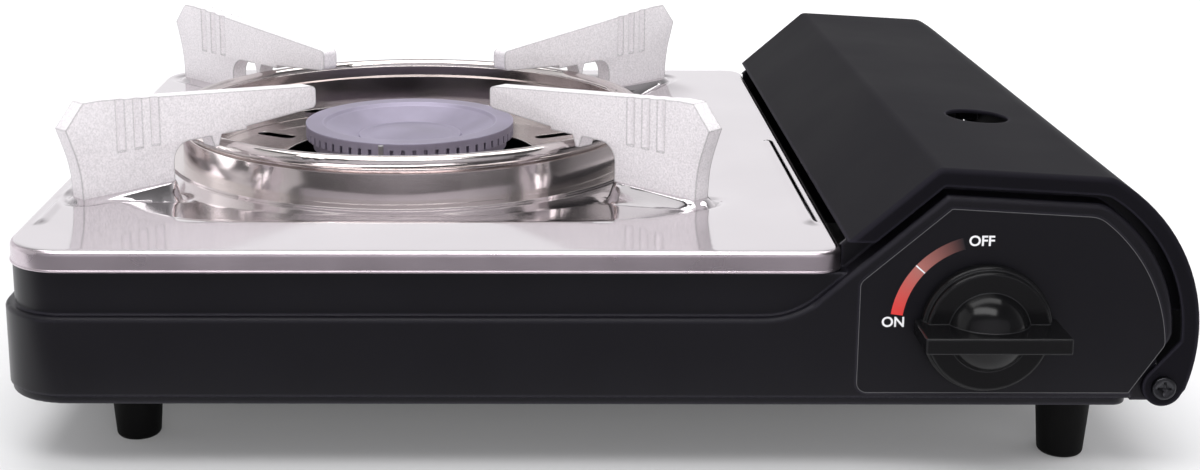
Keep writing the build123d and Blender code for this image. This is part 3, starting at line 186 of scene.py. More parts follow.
def feed(tree, socket, value):
    """Link an input to a socket, or set it to a value."""
    if isinstance(value, bpy.types.NodeSocket):
        tree.links.new(value, socket)
    else:
        socket.default_value = value


def add_node(tree, kind, inputs=None, **settings):
    """New node with its settings, and its inputs set or linked by name or number."""
    made = tree.nodes.new(kind)
    for key, value in settings.items():
        setattr(made, key, value)
    for key, value in (inputs or {}).items():
        feed(tree, made.inputs[key], value)
    return made


def coordinates(tree, output="Object"):
    """The piece's own coordinates, or another output of their node."""
    return add_node(tree, "ShaderNodeTexCoord").outputs[output]


def arithmetic(tree, operation, first, second):
    """Result of a math node on two values or sockets."""
    return add_node(
        tree, "ShaderNodeMath", {0: first, 1: second}, operation=operation).outputs[0]


def object_coordinates(tree, stretch=(1.0, 1.0, 1.0)):
    """The piece's own coordinates, stretched."""
    inputs = {"Vector": coordinates(tree), "Scale": stretch}
    return add_node(tree, "ShaderNodeMapping", inputs).outputs["Vector"]


def noise(tree, place, scale, detail=3.0, roughness=0.55):
    """Soft noise between 0 and 1."""
    inputs = {"Vector": place, "Scale": scale, "Detail": detail, "Roughness": roughness}
    return add_node(tree, "ShaderNodeTexNoise", inputs).outputs["Fac"]


def remap(tree, value, low, high, from_low=0.3, from_high=0.7):
    """Value stretched from one range to another."""
    inputs = {
        "Value": value, "From Min": from_low, "From Max": from_high, "To Min": low, "To Max": high}
    return add_node(tree, "ShaderNodeMapRange", inputs).outputs["Result"]


def blend_colours(tree, factor, first, second):
    """Mix of two colours, each a colour or a socket."""
    made = add_node(tree, "ShaderNodeMix", data_type="RGBA")
    for number, value in ((0, factor), (6, first), (7, second)):  # the node's sockets for colours
        feed(tree, made.inputs[number], value)
    return made.outputs[2]


def shade(rgb, factor):
    """Colour made lighter or darker, with its alpha."""
    return tuple(min(part * factor, 1.0) for part in rgb) + (1.0,)


def edge_mask(tree, radius, reach=0.06):
    """1 at sharp edges and 0 on open faces, with the softened normal."""
    soft = add_node(tree, "ShaderNodeBevel", {"Radius": radius}, samples=4).outputs["Normal"]
    plain = add_node(tree, "ShaderNodeNewGeometry").outputs["Normal"]
    inputs = {0: soft, 1: plain}
    alike = add_node(tree, "ShaderNodeVectorMath", inputs, operation="DOT_PRODUCT").outputs["Value"]
    return remap(tree, alike, 1.0, 0.0, 1.0 - reach, 1.0), soft


def finish(name, rgb, rough, metal=0.0, spread=0.05, mottle=0.10, mottle_scale=18.0, grain=900.0,
           grain_depth=0.01, stretch=(1.0, 1.0, 1.0), edge=0.35, edge_wear_and_light=1.5, gloss=0.5, speckle=0.0):
    """Finish with mottled colour, uneven roughness, fine grain, and edges recoloured by a factor:
    wear on the metals, a painted highlight on the black enamel and plastic, painted shade on the
    cast arms.
    """
    material, tree, shader = start_material(name)
    place = object_coordinates(tree, stretch)
    broad = noise(tree, object_coordinates(tree), mottle_scale)
    fine = noise(tree, place, grain)
    face = blend_colours(
        tree, remap(tree, broad, 0.0, 1.0), shade(rgb, 1 - mottle), shade(rgb, 1 + mottle))
    if speckle:
        dots = {0: face, "Scale": remap(tree, fine, 1 - speckle, 1 + speckle)}
        face = add_node(tree, "ShaderNodeVectorMath", dots, operation="SCALE").outputs[0]
    lit_worn_edges, soft = edge_mask(tree, edge * MM)
    bump = add_node(tree, "ShaderNodeBump", {
        "Height": fine, "Strength": 0.5, "Distance": grain_depth * MM, "Normal": soft})
    inputs = {
        # Edges take the colour scaled by the edge factor: wear on the metals, a painted highlight
        # on the black enamel and plastic, painted shade on the cast arms.
        "Base Color": blend_colours(tree, lit_worn_edges, face, shade(rgb, edge_wear_and_light)),
        "Roughness": remap(tree, broad, rough - spread, rough + spread),
        "Normal": bump.outputs["Normal"],
        "Metallic": metal,
        "Specular IOR Level": gloss,
    }
    for key, value in inputs.items():
        feed(tree, shader.inputs[key], value)
    return material


def enamel(name, rgb, rough=0.34, gloss=0.26):
    """Semi-gloss black enamel on pressed steel, with a faint orange-peel and a painted highlight
    along its edges.
    """
    return finish(name, rgb, rough, spread=0.04, mottle=0.12, grain=420.0, grain_depth=0.012,
                  edge=1.2, edge_wear_and_light=4.5, gloss=gloss)


def pressed_steel(name, rgb):
    """Bright pressed stainless steel, nearly a mirror."""
    return finish(name, rgb, rough=0.09, metal=1.0, spread=0.02, mottle=0.04, grain=260.0,
                  grain_depth=0.004, stretch=(0.15, 3.0, 3.0), edge=0.4, edge_wear_and_light=1.06)


def brushed_steel(name, rgb):
    """Stainless steel brushed along its length."""
    return finish(name, rgb, rough=0.30, metal=1.0, mottle_scale=30.0, grain_depth=0.02,
                  stretch=(0.03, 0.03, 1.6), edge=0.3, edge_wear_and_light=1.25)


def polished_steel(name, rgb):
    """Polished stainless steel with fine turned lines."""
    return finish(name, rgb, rough=0.15, metal=1.0, spread=0.04, mottle=0.06, mottle_scale=40.0,
                  grain=700.0, grain_depth=0.004, stretch=(0.2, 0.2, 3.0), edge=0.3, edge_wear_and_light=1.08)


def cast_enamel(name, rgb):
    """Pale grained enamel on the cast arms, darker at their edges and in their grooves as painted
    shade.
    """
    return finish(name, rgb, rough=0.48, spread=0.06, mottle=0.03, grain=1700.0, grain_depth=0.25,
                  edge=0.8, edge_wear_and_light=0.5, speckle=0.15)


def plain_ink(name, rgb):
    """Printed ink with a slight unevenness."""
    return finish(name, rgb, rough=0.45, spread=0.03, mottle=0.04, mottle_scale=300.0,
                  grain=2500.0, grain_depth=0.003, edge=0.05, edge_wear_and_light=1.0, gloss=0.3)


def arc_ink(name, rgb):
    """Ink that fades from red at ON to the panel's black at OFF."""
    material = plain_ink(name, rgb)
    tree = material.node_tree
    place = add_node(tree, "ShaderNodeSeparateXYZ", {0: coordinates(tree)})
    across = arithmetic(tree, "SUBTRACT", place.outputs["X"], KNOB_AXIS.x)
    up = arithmetic(tree, "SUBTRACT", place.outputs["Z"], KNOB_AXIS.z)
    turn = arithmetic(tree, "ARCTAN2", up, across)
    share = remap(tree, turn, 0.0, 1.0, math.radians(ARC_ON), math.radians(ARC_OFF))
    ramp = add_node(tree, "ShaderNodeValToRGB", {"Fac": share})
    ramp.color_ramp.elements[0].color = shade(rgb, 1.0)
    ramp.color_ramp.elements[1].color = ARC_END
    ramp.color_ramp.elements.new(0.5).color = ARC_MIDDLE
    tree.links.new(ramp.outputs["Color"], tree.nodes["Principled BSDF"].inputs["Base Color"])
    return material


def matt_casting(name, rgb):
    """Matt cast alloy."""
    return finish(name, rgb, rough=0.52, metal=0.7, spread=0.06, mottle_scale=60.0, grain=1300.0,
                  grain_depth=0.05, edge=0.8, edge_wear_and_light=1.3)


def moulded_plastic(name, rgb):
    """Gloss black moulded plastic, with a painted highlight along its edges."""
    return finish(name, rgb, rough=0.18, spread=0.03, grain=300.0, grain_depth=0.004, edge=0.5,
                  edge_wear_and_light=5.0, gloss=0.26)


def grained_rubber(name, rgb):
    """Matt black rubber with a coarse moulded grain."""
    return finish(name, rgb, rough=0.62, spread=0.08, mottle=0.2, grain=1100.0, grain_depth=0.16,
                  edge_wear_and_light=1.6, gloss=0.12)


def satin_film(name, rgb):
    """Satin black film on the control panel."""
    return finish(name, rgb, rough=0.40, spread=0.02, mottle=0.06, grain=1600.0,
                  grain_depth=0.006, edge=0.2, edge_wear_and_light=2.0, gloss=0.24)


def plain_metal(name, rgb, rough=0.32, metal=1.0):
    """Plated, turned or mill-finish metal of the inner pieces."""
    return finish(name, rgb, rough, metal=metal, spread=0.08, mottle=0.12, mottle_scale=70.0,
                  grain=500.0, grain_depth=0.02, stretch=(1.0, 1.0, 4.0), edge_wear_and_light=1.25)


# ---------------------------------------------------------------- mesh helpers
def merged_copy(node, flat=0.5):
    """Copy of a CAD node's mesh with its loose triangles merged and its flat faces joined."""
    bm = bmesh.new()
    bm.from_mesh(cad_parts[node].data)
    bmesh.ops.remove_doubles(bm, verts=bm.verts, dist=CAD_WELD)
    bmesh.ops.dissolve_limit(bm, angle_limit=math.radians(flat), verts=bm.verts, edges=bm.edges)
    return bm


def vertices_of(items):
    """The vertices in what an operator returned."""
    return [item for item in items if isinstance(item, bmesh.types.BMVert)]


def faces_toward(bm, outward, level, reach):
    """Faces that look forward (-1) or back (1) along Y and lie within reach of a level."""
    return [
        f for f in bm.faces
        if f.normal.y * outward > FACING and abs(f.calc_center_median().y - level) < reach]


def stand_out(bm, depth):
    """Thicken flat faces forward into a closed solid."""
    raised = bmesh.ops.extrude_face_region(bm, geom=bm.faces[:])["geom"]
    bmesh.ops.translate(bm, verts=vertices_of(raised), vec=(0, -depth, 0))
    bmesh.ops.recalc_face_normals(bm, faces=bm.faces)
    return bm


def soften(bm, edge, least=35.0, segments=3):
    """Round every edge that turns by more than the given angle."""
    sharp = [
        e for e in bm.edges
        if len(e.link_faces) == 2 and e.calc_face_angle(0.0) > math.radians(least)]
    bmesh.ops.bevel(
        bm, geom=sharp, offset=edge, offset_type="OFFSET", affect="EDGES", segments=segments,
        profile=0.5, clamp_overlap=True, material=-1)


def place_piece(name, bm, material, body, replaced=(), smooth=40.0):
    """Object from a bmesh, with its finish, fastened to its body, and the CAD nodes that it
    replaces hidden.
    """
    mesh = bpy.data.meshes.new(name)
    bm.to_mesh(mesh)
    bm.free()
    mesh.materials.append(material)
    mesh.shade_smooth()
    mesh.set_sharp_from_angle(angle=math.radians(smooth))
    piece = bpy.data.objects.new(name, mesh)
    bpy.context.scene.collection.objects.link(piece)
    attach(piece, body)
    if replaced:
        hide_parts(*replaced)
    return piece


def dress(material, *nodes):
    """Give CAD nodes a finish."""
    for name in nodes:
        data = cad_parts[name]
        if not data.material_slots:
            data.data.materials.append(material)
        for slot in data.material_slots:
            slot.material = material


# ---------------------------------------------------------------- shape of the drip tray
def tray_top():
    """Height of the tray's flat plate."""
    return TRAY_HIGH.z - bpy.context.scene.stove_sizes.rib_height


def rounded_depth(point, low, high, radius):
    """How deep a plan point lies inside a rounded rectangle; negative outside."""
    half = (high - low) / 2
    middle = (low + high) / 2
    x = abs(point.x - middle.x) - half.x + radius
    y = abs(point.y - middle.y) - half.y + radius
    return radius - math.hypot(max(x, 0.0), max(y, 0.0)) - min(max(x, y), 0.0)


def soft_step(value, rise):
    """0 at nothing and 1 at the given rise, smooth between."""
    share = min(max(value / rise, 0.0), 1.0)
    return share * share * (3 - 2 * share)


def soft_ramp(share, blend):
    """Straight ramp from 0 to 1 with rounded ends."""
    if share < blend:
        return max(share + blend, 0.0) ** 2 / (4 * blend)
    if share > 1 - blend:
        return 1 - max(1 + blend - share, 0.0) ** 2 / (4 * blend)
    return share


def dish_mouth(sizes):
    """Low and high corner of the dish's mouth."""
    low = Vector((TRAY_LOW.x + sizes.dish_left, TRAY_LOW.y + sizes.dish_front))
    high = Vector((TRAY_HIGH.x - sizes.dish_right, TRAY_HIGH.y - sizes.dish_back))
    return low, high


def dish_bed(sizes):
    """Low and high corner of the dish's flat bed."""
    half = Vector((sizes.dish_bed, sizes.dish_bed))
    return BURNER.xy - half, BURNER.xy + half


def plate_height(point, sizes):
    """Height of the pressed plate over its flat part at a plan point."""
    mouth = rounded_depth(point, *dish_mouth(sizes), sizes.dish_corner)
    bed = rounded_depth(point, *dish_bed(sizes), sizes.dish_bed_corner)
    height = -sizes.dish_depth * soft_ramp(mouth / (mouth - bed), WALL_BLEND)
    half = sizes.arm_thickness / 2 + sizes.boss_margin
    near = Vector((sizes.foot_from - sizes.boss_margin, -half))
    far = Vector((sizes.foot_to + sizes.boss_margin, half))
    for turn in ARM_TURNS:
        turned_back = point - BURNER.xy
        turned_back.rotate(Matrix.Rotation(-math.radians(turn), 2))
        within = rounded_depth(turned_back, near, far, half)
        lift = soft_step(within, sizes.boss_edge)
        dip = soft_step(within + sizes.boss_moat, sizes.boss_moat) * (1 - lift)
        height += (sizes.boss_rise - height) * lift - sizes.boss_dip * dip
    half = sizes.rib_width / 2
    for x in (TRAY_LOW.x + sizes.rib_side, TRAY_HIGH.x - sizes.rib_side):
        low = Vector((x - half, TRAY_LOW.y + sizes.rib_front))
        high = Vector((x + half, TRAY_LOW.y + sizes.rib_front + sizes.rib_length))
        height += sizes.rib_height * soft_step(rounded_depth(point, low, high, half), half)
    return height


def plate_outline(sizes, inset, spacing=1.8 * MM, turns=12):
    """Points round the plate, drawn in, as many at every inset."""
    left, right = sizes.plate_corner_left, sizes.plate_corner_right
    low, high = TRAY_LOW, TRAY_HIGH
    corners = (
        (low.x + left, low.y + left, left, 180),
        (high.x - right, low.y + right, right, 270),
        (high.x - right, high.y - right, right, 0),
        (low.x + left, high.y - left, left, 90))
    arcs = []
    for x, y, radius, start in corners:
        steps = [math.radians(start + 90 * step / turns) for step in range(turns + 1)]
        arcs.append([
            Vector((x + (radius - inset) * math.cos(a), y + (radius - inset) * math.sin(a)))
            for a in steps])
    points = []
    for arc, following in zip(arcs, arcs[1:] + arcs[:1]):
        points += arc
        gap = following[0] - arc[-1]
        count = round(gap.length / spacing)
        points += [arc[-1] + gap * step / count for step in range(1, count)]
    return points


def crossing(corners, radius, toward, reach):
    """Point where a line from the burner's axis leaves a rounded rectangle."""
    near, far = 0.0, reach
    for _ in range(HALVINGS):
        middle = (near + far) / 2
        if rounded_depth(BURNER.xy + toward * middle, *corners, radius) > 0:
            near = middle
        else:
            far = middle
    return BURNER.xy + toward * near


def edge_profile(sizes):
    """(inset, height) points over the folded edge, down the skirt and round its hem."""
    fold = sizes.plate_edge
    hem = sizes.plate_hem
    points = []
    for step in range(1, FOLD_STEPS + 1):
        turn = math.radians(90 * step / FOLD_STEPS)
        points.append((hem + fold * (1 - math.sin(turn)), fold * (math.cos(turn) - 1)))
    for step in range(HEM_STEPS + 1):
        turn = math.radians(90 - 180 * step / HEM_STEPS)
        points.append((hem * (1 - math.cos(turn)), hem + hem * math.sin(turn) - sizes.plate_skirt))
    return points


def tray_loops(sizes):
    """(plan points, heights) of every loop, from the middle hole out to the skirt's hem."""
    top = tray_top()
    flat_end = plate_outline(sizes, sizes.plate_edge + sizes.plate_hem)
    beds, mouths, holes = [], [], []
    for point in flat_end:
        reach = (point - BURNER.xy).length
        toward = (point - BURNER.xy).normalized()
        holes.append(BURNER.xy + toward * sizes.plate_hole)
        beds.append(crossing(dish_bed(sizes), sizes.dish_bed_corner, toward, reach))
        mouths.append(crossing(dish_mouth(sizes), sizes.dish_corner, toward, reach))
    plans = [holes]
    stretches = (
        (holes, beds, BED_LOOPS), (beds, mouths, WALL_LOOPS), (mouths, flat_end, FLAT_LOOPS))
    for start, end, count in stretches:
        for step in range(1, count + 1):
            plans.append([a.lerp(b, step / count) for a, b in zip(start, end)])
    loops = [(plan, [top + plate_height(point, sizes) for point in plan]) for plan in plans]
    for inset, height in edge_profile(sizes):
        loops.append((plate_outline(sizes, inset), [top + height] * len(flat_end)))
    return loops


def pressed_tray(sizes):
    """Sheet of the drip tray, drawn out loop by loop from its middle hole."""
    (holes, rims), *outer = tray_loops(sizes)
    bm = bmesh.new()
    loop = bmesh.ops.create_circle(
        bm, cap_ends=False, radius=sizes.plate_hole, segments=len(holes))["verts"]
    for vert, point, height in zip(loop, holes, rims):
        vert.co = (*point, height)
    edges = list(bm.edges)
    for plan, heights in outer:
        made = bmesh.ops.extrude_edge_only(bm, edges=edges)["geom"]
        edges = [item for item in made if isinstance(item, bmesh.types.BMEdge)
                 and all(v not in loop for v in item.verts)]
        fresh = {v.co.to_tuple(PLACE_DIGITS): v for v in vertices_of(made)}
        loop = [fresh[v.co.to_tuple(PLACE_DIGITS)] for v in loop]
        for vert, point, height in zip(loop, plan, heights):
            vert.co = (*point, height)
    bmesh.ops.recalc_face_normals(bm, faces=bm.faces)
    return bm


def on_skirt(point, sizes):
    """Whether a point of the tray lies over its folded edge or on its skirt."""
    from_edge = rounded_depth(point.xy, TRAY_LOW.xy, TRAY_HIGH.xy, sizes.plate_corner_left)
    below = point.z < tray_top() - sizes.plate_sheet / 4
    return below and from_edge < sizes.plate_edge + sizes.plate_hem


# ---------------------------------------------------------------- print on the panel, and screws
def around_knob(radius, degrees, depth=0.0):
    """Point on the panel's face round the knob's axis, standing out by a depth."""
    turn = math.radians(degrees)
    return Vector((
        KNOB_AXIS.x + radius * math.cos(turn), PANEL_FRONT - depth,
        KNOB_AXIS.z + radius * math.sin(turn)))


def dial_arc(sizes):
    """Flat arc from ON to OFF."""
    bm = bmesh.new()
    corners = [
        around_knob(radius, ARC_ON, depth)
        for radius, depth in (
            (sizes.arc_inner, 0), (sizes.arc_outer, 0), (sizes.arc_outer, sizes.print_depth),
            (sizes.arc_inner, sizes.print_depth))]
    bm.faces.new([bm.verts.new(corner) for corner in corners])
    bmesh.ops.spin(
        bm, geom=bm.verts[:] + bm.edges[:] + bm.faces[:], cent=KNOB_AXIS, axis=(0, -1, 0),
        angle=math.radians(ARC_OFF - ARC_ON), steps=ARC_STEPS)
    bmesh.ops.remove_doubles(bm, verts=bm.verts, dist=ARC_WELD)
    bmesh.ops.recalc_face_normals(bm, faces=bm.faces)
    return bm


def dial_tick(sizes):
    """Short line across the arc."""
    bm = bmesh.new()
    bmesh.ops.create_cube(bm, size=1.0)
    span = sizes.arc_outer - sizes.arc_inner
    middle = around_knob((sizes.arc_outer + sizes.arc_inner) / 2, ARC_TICK, sizes.print_depth)
    bmesh.ops.scale(bm, verts=bm.verts, vec=(span, 2 * sizes.print_depth, sizes.mark_width))
    bmesh.ops.rotate(bm, verts=bm.verts, matrix=Matrix.Rotation(-math.radians(ARC_TICK), 3, "Y"))
    bmesh.ops.translate(bm, verts=bm.verts, vec=middle)
    return bm


def printed_word(word, height, place, sizes):
    """Capitals as a thin solid on the panel's face, placed across and up from the knob's axis."""
    curve = bpy.data.curves.new(word, "FONT")
    curve.body = word
    curve.offset = WORD_WEIGHT
    holder = bpy.data.objects.new(word, curve)
    bpy.context.scene.collection.objects.link(holder)
    bpy.context.view_layer.update()
    shaped = holder.evaluated_get(bpy.context.evaluated_depsgraph_get())
    flat = bpy.data.meshes.new_from_object(shaped)
    bpy.data.objects.remove(holder)
    bpy.data.curves.remove(curve)
    bm = bmesh.new()
    bm.from_mesh(flat)
    bpy.data.meshes.remove(flat)
    bmesh.ops.remove_doubles(bm, verts=bm.verts, dist=WORD_WELD)
    low, high = (
        Vector((end(v.co.x for v in bm.verts), end(v.co.y for v in bm.verts), 0))
        for end in (min, max))
    size = height / (high.y - low.y)
    bmesh.ops.translate(bm, verts=bm.verts, vec=-(low + high) / 2)
    bmesh.ops.scale(bm, verts=bm.verts, vec=(size, size, size))
    bmesh.ops.rotate(bm, verts=bm.verts, matrix=Matrix.Rotation(math.radians(90), 3, "X"))
    centre = Vector((KNOB_AXIS.x + place[0], PANEL_FRONT, KNOB_AXIS.z + place[1]))
    bmesh.ops.translate(bm, verts=bm.verts, vec=centre)
    return stand_out(bm, sizes.print_depth)


def panel_edge_highlight(sizes):
    """Thin pale line along the control panel's edge, a painted highlight."""
    bm = merged_copy("control_panel")
    front = faces_toward(bm, -1, PANEL_FRONT, PANEL_REACH)
    line = bmesh.ops.inset_region(
        bm, faces=front, thickness=sizes.mark_width / 2, use_even_offset=True)["faces"]
    keep = set(line)
    bmesh.ops.delete(bm, geom=[f for f in bm.faces if f not in keep], context="FACES")
    return stand_out(bm, sizes.print_depth)


def recess_grid(bm, centre, reach, outward):
    """Corner faces and cross-shaped faces of a grid laid over a screw's end."""
    grid = bmesh.ops.create_grid(bm, x_segments=3, y_segments=3, size=1.0)["verts"]
    for vert in grid:
        across, up = (
            math.copysign(reach if abs(part) > 0.5 else reach * RECESS_ARM, part)
            for part in vert.co.xy)
        vert.co = centre + Vector((across, 0, up * -outward))
    faces = {f for v in grid for f in v.link_faces}
    corners = []
    for face in faces:
        off = face.calc_center_median() - centre
        if min(abs(off.x), abs(off.z)) > reach * RECESS_ARM:
            corners.append(face)
    return corners, faces


def crossed_screws(node):
    """Copy of a pair of screws with a cross recess in each outer face."""
    bm = merged_copy(node)
    low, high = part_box(node)
    for outward, level in ((-1, low.y), (1, high.y)):
        cap = faces_toward(bm, outward, level, SCREW_REACH)
        rim = {e for f in cap for e in f.edges if len(set(e.link_faces) & set(cap)) == 1}
        centre = sum((v.co for e in rim for v in e.verts), Vector()) / (2 * len(rim))
        bmesh.ops.delete(bm, geom=cap, context="FACES")
        reach = RECESS_REACH * min((v.co - centre).length for e in rim for v in e.verts)
        corners, faces = recess_grid(bm, centre, reach, outward)
        bmesh.ops.delete(bm, geom=corners, context="FACES")
        cross = [f for f in faces if f.is_valid]
        edge = [e for e in {e for f in cross for e in f.edges} if len(e.link_faces) == 1]
        sunk = bmesh.ops.extrude_face_region(bm, geom=cross)["geom"]
        bmesh.ops.translate(bm, verts=vertices_of(sunk), vec=(0, -outward * RECESS_DEPTH, 0))
        bmesh.ops.delete(bm, geom=[f for f in cross if f.is_valid], context="FACES_ONLY")
        loops = [e for e in edge if e.is_valid] + [e for e in rim if e.is_valid]
        bmesh.ops.bridge_loops(bm, edges=loops)
    bmesh.ops.recalc_face_normals(bm, faces=bm.faces)
    return bm


# ---------------------------------------------------------------- pieces
class STOVE_OT_body(bpy.types.Operator):
    """Enamel the body, the cover and the sheet parts under them"""
    bl_idname = "stove.body"
    bl_label = "Body and cover"

    def execute(self, context):
        colours = context.scene.stove_colours
        dress(enamel("black_enamel", colours.enamel), "body_shell")
        dress(enamel("cover_enamel", colours.enamel, rough=0.62, gloss=0.07), "cartridge_cover")
        dress(
            enamel("dark_enamel", colours.enamel),
            "base_plate", "hinge_bracket_front", "hinge_bracket_rear")
        dress(satin_film("panel_film", colours.film), "control_panel")
        return {"FINISHED"}


class STOVE_OT_feet(bpy.types.Operator):
    """Give the feet their grained rubber"""
    bl_idname = "stove.feet"
    bl_label = "Feet"

    def execute(self, context):
        rubber = grained_rubber("foot_rubber", context.scene.stove_colours.rubber)
        dress(rubber, "foot_front_left", "foot_front_right", "foot_rear_left", "foot_rear_right")
        return {"FINISHED"}


class STOVE_OT_top_plate(bpy.types.Operator):
    """Press the drip tray: dish, bosses, ribs, folded edge and hemmed skirt"""
    bl_idname = "stove.top_plate"
    bl_label = "Drip tray"

    def execute(self, context):
        sizes = context.scene.stove_sizes
        colours = context.scene.stove_colours
        bm = pressed_tray(sizes)
        steel = pressed_steel("pressed_steel", colours.plate)
        piece = place_piece(
            "drip_tray", bm, steel, "tray", ("top_plate",), smooth=60.0)
        piece.data.materials.append(brushed_steel("brushed_steel", colours.skirt))
        # The skirt's darker colour covers the skirt and the folded edge; on the fold it is painted
        # shade that dims the fold's highlight, together with the rougher brushed finish.
        for face in piece.data.polygons:
            face.material_index = int(on_skirt(face.center, sizes))
        sheet = piece.modifiers.new("sheet", "SOLIDIFY")
        sheet.thickness = sizes.plate_sheet
        sheet.offset = -1.0
        return {"FINISHED"}


class STOVE_OT_ring(bpy.types.Operator):
    """Polish the ring and finish the slotted plate inside it"""
    bl_idname = "stove.ring"
    bl_label = "Ring"

    def execute(self, context):
        colours = context.scene.stove_colours
        dress(polished_steel("polished_steel", colours.ring), "windshield_ring")
        dress(pressed_steel("inner_steel", colours.ring), "burner_surround", "surround_rim")
        return {"FINISHED"}


class STOVE_OT_burner(bpy.types.Operator):
    """Finish the burner's castings"""
    bl_idname = "stove.burner"
    bl_label = "Burner"

    def execute(self, context):
        casting = matt_casting("burner_alloy", context.scene.stove_colours.burner)
        dress(casting, "burner_base", "burner_head", "burner_cap")
        return {"FINISHED"}


class STOVE_OT_arms(bpy.types.Operator):
    """Round the edges of the four cast arms and give them their grain"""
    bl_idname = "stove.arms"
    bl_label = "Pan supports"

    def execute(self, context):
        cast = cast_enamel("cast_enamel", context.scene.stove_colours.cast)
        for side in ("front_left", "front_right", "rear_left", "rear_right"):
            node = "pan_support_" + side
            bm = merged_copy(node)
            soften(bm, context.scene.stove_sizes.arm_edge)
            place_piece("arm_" + side, bm, cast, "tray", (node,))
        return {"FINISHED"}


class STOVE_OT_knob(bpy.types.Operator):
    """Finish the knob"""
    bl_idname = "stove.knob"
    bl_label = "Knob"

    def execute(self, context):
        dress(moulded_plastic("knob_plastic", context.scene.stove_colours.plastic), "knob")
        return {"FINISHED"}


class STOVE_OT_dial(bpy.types.Operator):
    """Print the arc, the tick and the two words, and lay a thin painted highlight along the control
    panel's edge
    """
    bl_idname = "stove.dial"
    bl_label = "Dial"

    def execute(self, context):
        sizes = context.scene.stove_sizes
        colours = context.scene.stove_colours
        white = plain_ink("white_ink", colours.white)
        red = arc_ink("arc_ink", colours.red)
        place_piece("dial_arc", dial_arc(sizes), red, "stove")
        place_piece("dial_tick", dial_tick(sizes), white, "stove")
        for word, place in DIAL_WORDS:
            bm = printed_word(word, sizes.mark_height, place, sizes)
            place_piece("dial_" + word.lower(), bm, white, "stove")
        # Pale grey strip along the panel's edge: a painted highlight.
        grey = plain_ink("edge_highlight_ink", colours.outline)
        place_piece("panel_edge_highlight", panel_edge_highlight(sizes), grey, "stove")
        return {"FINISHED"}


class STOVE_OT_hinge_screws(bpy.types.Operator):
    """Cut the cross recesses in the hinge screws' heads"""
    bl_idname = "stove.hinge_screws"
    bl_label = "Hinge screws"

    def execute(self, context):
        dark = plain_metal("blackened_steel", (0.05, 0.05, 0.055), rough=0.28)
        bm = crossed_screws("cover_hinge_screws")
        place_piece("hinge_screws", bm, dark, "stove", ("cover_hinge_screws",))
        return {"FINISHED"}


INNER_METALS = (  # finish, colour, roughness, metal share, nodes
    ("coated_sheet", (0.05, 0.05, 0.052), 0.45, 0.4,
     ("partition_wall", "burner_bracket", "igniter_bracket", "regulator_bracket",
      "cartridge_guide")),
    ("inner_stainless", (0.55, 0.54, 0.54), 0.30, 1.0, ("mixing_tube", "air_shutter")),
    ("die_cast_zinc", (0.40, 0.40, 0.41), 0.45, 1.0, ("regulator_body", "regulator_cap")),
    ("plated_steel", (0.42, 0.42, 0.43), 0.28, 1.0,
     ("foot_screws", "pan_support_screws", "burner_screws", "regulator_cap_screws",
      "regulator_screws", "control_shaft", "igniter_electrode")),
    ("turned_brass", (0.62, 0.43, 0.17), 0.25, 1.0, ("gas_nozzle", "gas_pipe")),
    ("mill_aluminium", (0.66, 0.66, 0.67), 0.38, 1.0, ("heat_panel",)),
    ("glazed_ceramic", (0.80, 0.77, 0.72), 0.18, 0.0, ("igniter_insulator",)),
    ("ferrite", (0.06, 0.06, 0.065), 0.55, 0.2, ("regulator_magnet",)),
)


class STOVE_OT_inside(bpy.types.Operator):
    """Finish the pieces inside the body"""
    bl_idname = "stove.inside"
    bl_label = "Inner pieces"

    def execute(self, context):
        colours = context.scene.stove_colours
        for name, rgb, rough, metal, nodes in INNER_METALS:
            dress(plain_metal(name, rgb, rough, metal), *nodes)
        dress(grained_rubber("soft_rubber", colours.rubber), "regulator_seal", "igniter_wire")
        moulded = moulded_plastic("inner_plastic", colours.plastic)
        dress(moulded, "piezo_igniter", "piezo_plunger", "shaft_bush", "control_cam")
        return {"FINISHED"}


class STOVE_OT_stage(bpy.types.Operator):
    """Lay the pale floor, set the cards and soft lamps and aim the camera"""
    bl_idname = "stove.stage"
    bl_label = "Stage"

    def execute(self, context):
        make_floor(context.scene.stove_colours.floor)
        make_cards()
        make_world(context.scene)
        make_lamps(context.scene)
        make_camera(context.scene)
        context.scene.view_settings.view_transform = "Standard"
        return {"FINISHED"}


# ---------------------------------------------------------------- stage
FLOOR_HALF = 6.0
FLOOR_GLOW = (0.10, 0.46)       # the floor's own light at the stove and away from it; the low value near the stove is painted shade round it
FLOOR_FADE = (0.22, 0.85)       # the distances between which it changes
CARDS = (                       # name, near left, far right, height, tilt in degrees, grey
    ("card_low", (-2.0, -2.6), (2.0, -0.17), 1.0 * MM, 0, 0.20),
    ("card_tall", (-2.0, -2.2), (2.0, -1.0), 0.65, 75, 0.80),
)
CARD_TINT = (1.0, 0.97, 1.02)
SCATTERED = 0.42                # the world's strength for light that isn't mirrored
LAMP_AIM = (0.0, 0.0, 0.05)
LAMPS = (                       # name, place, size, watts, whether polished pieces mirror it
    ("lamp_above", (0.0, 0.25, 1.3), (1.6, 0.9), 12.0, True),
    ("lamp_front", (-0.2, -0.75, 1.45), (1.6, 0.5), 12.0, True),
    ("lamp_low", (0.05, -1.1, 0.28), (0.8, 0.5), 2.8, False),
    ("lamp_left", (-1.2, -0.1, 0.5), (1.2, 1.2), 2.5, True),
    ("lamp_right", (1.2, 0.1, 0.6), (1.2, 1.2), 6.5, False),
)
CAMERA_PLACE = (-0.01737, -0.60004, 0.21025)
CAMERA_PITCH = 13               # degrees down from level
CAMERA_TURN = 0.0038            # radians to the left
CAMERA_LENS = 54.63             # mm
SENSOR_WIDTH = 36.0             # mm
CAMERA_SHIFT = (0.063, -0.0882)
CLIP_START = 0.01


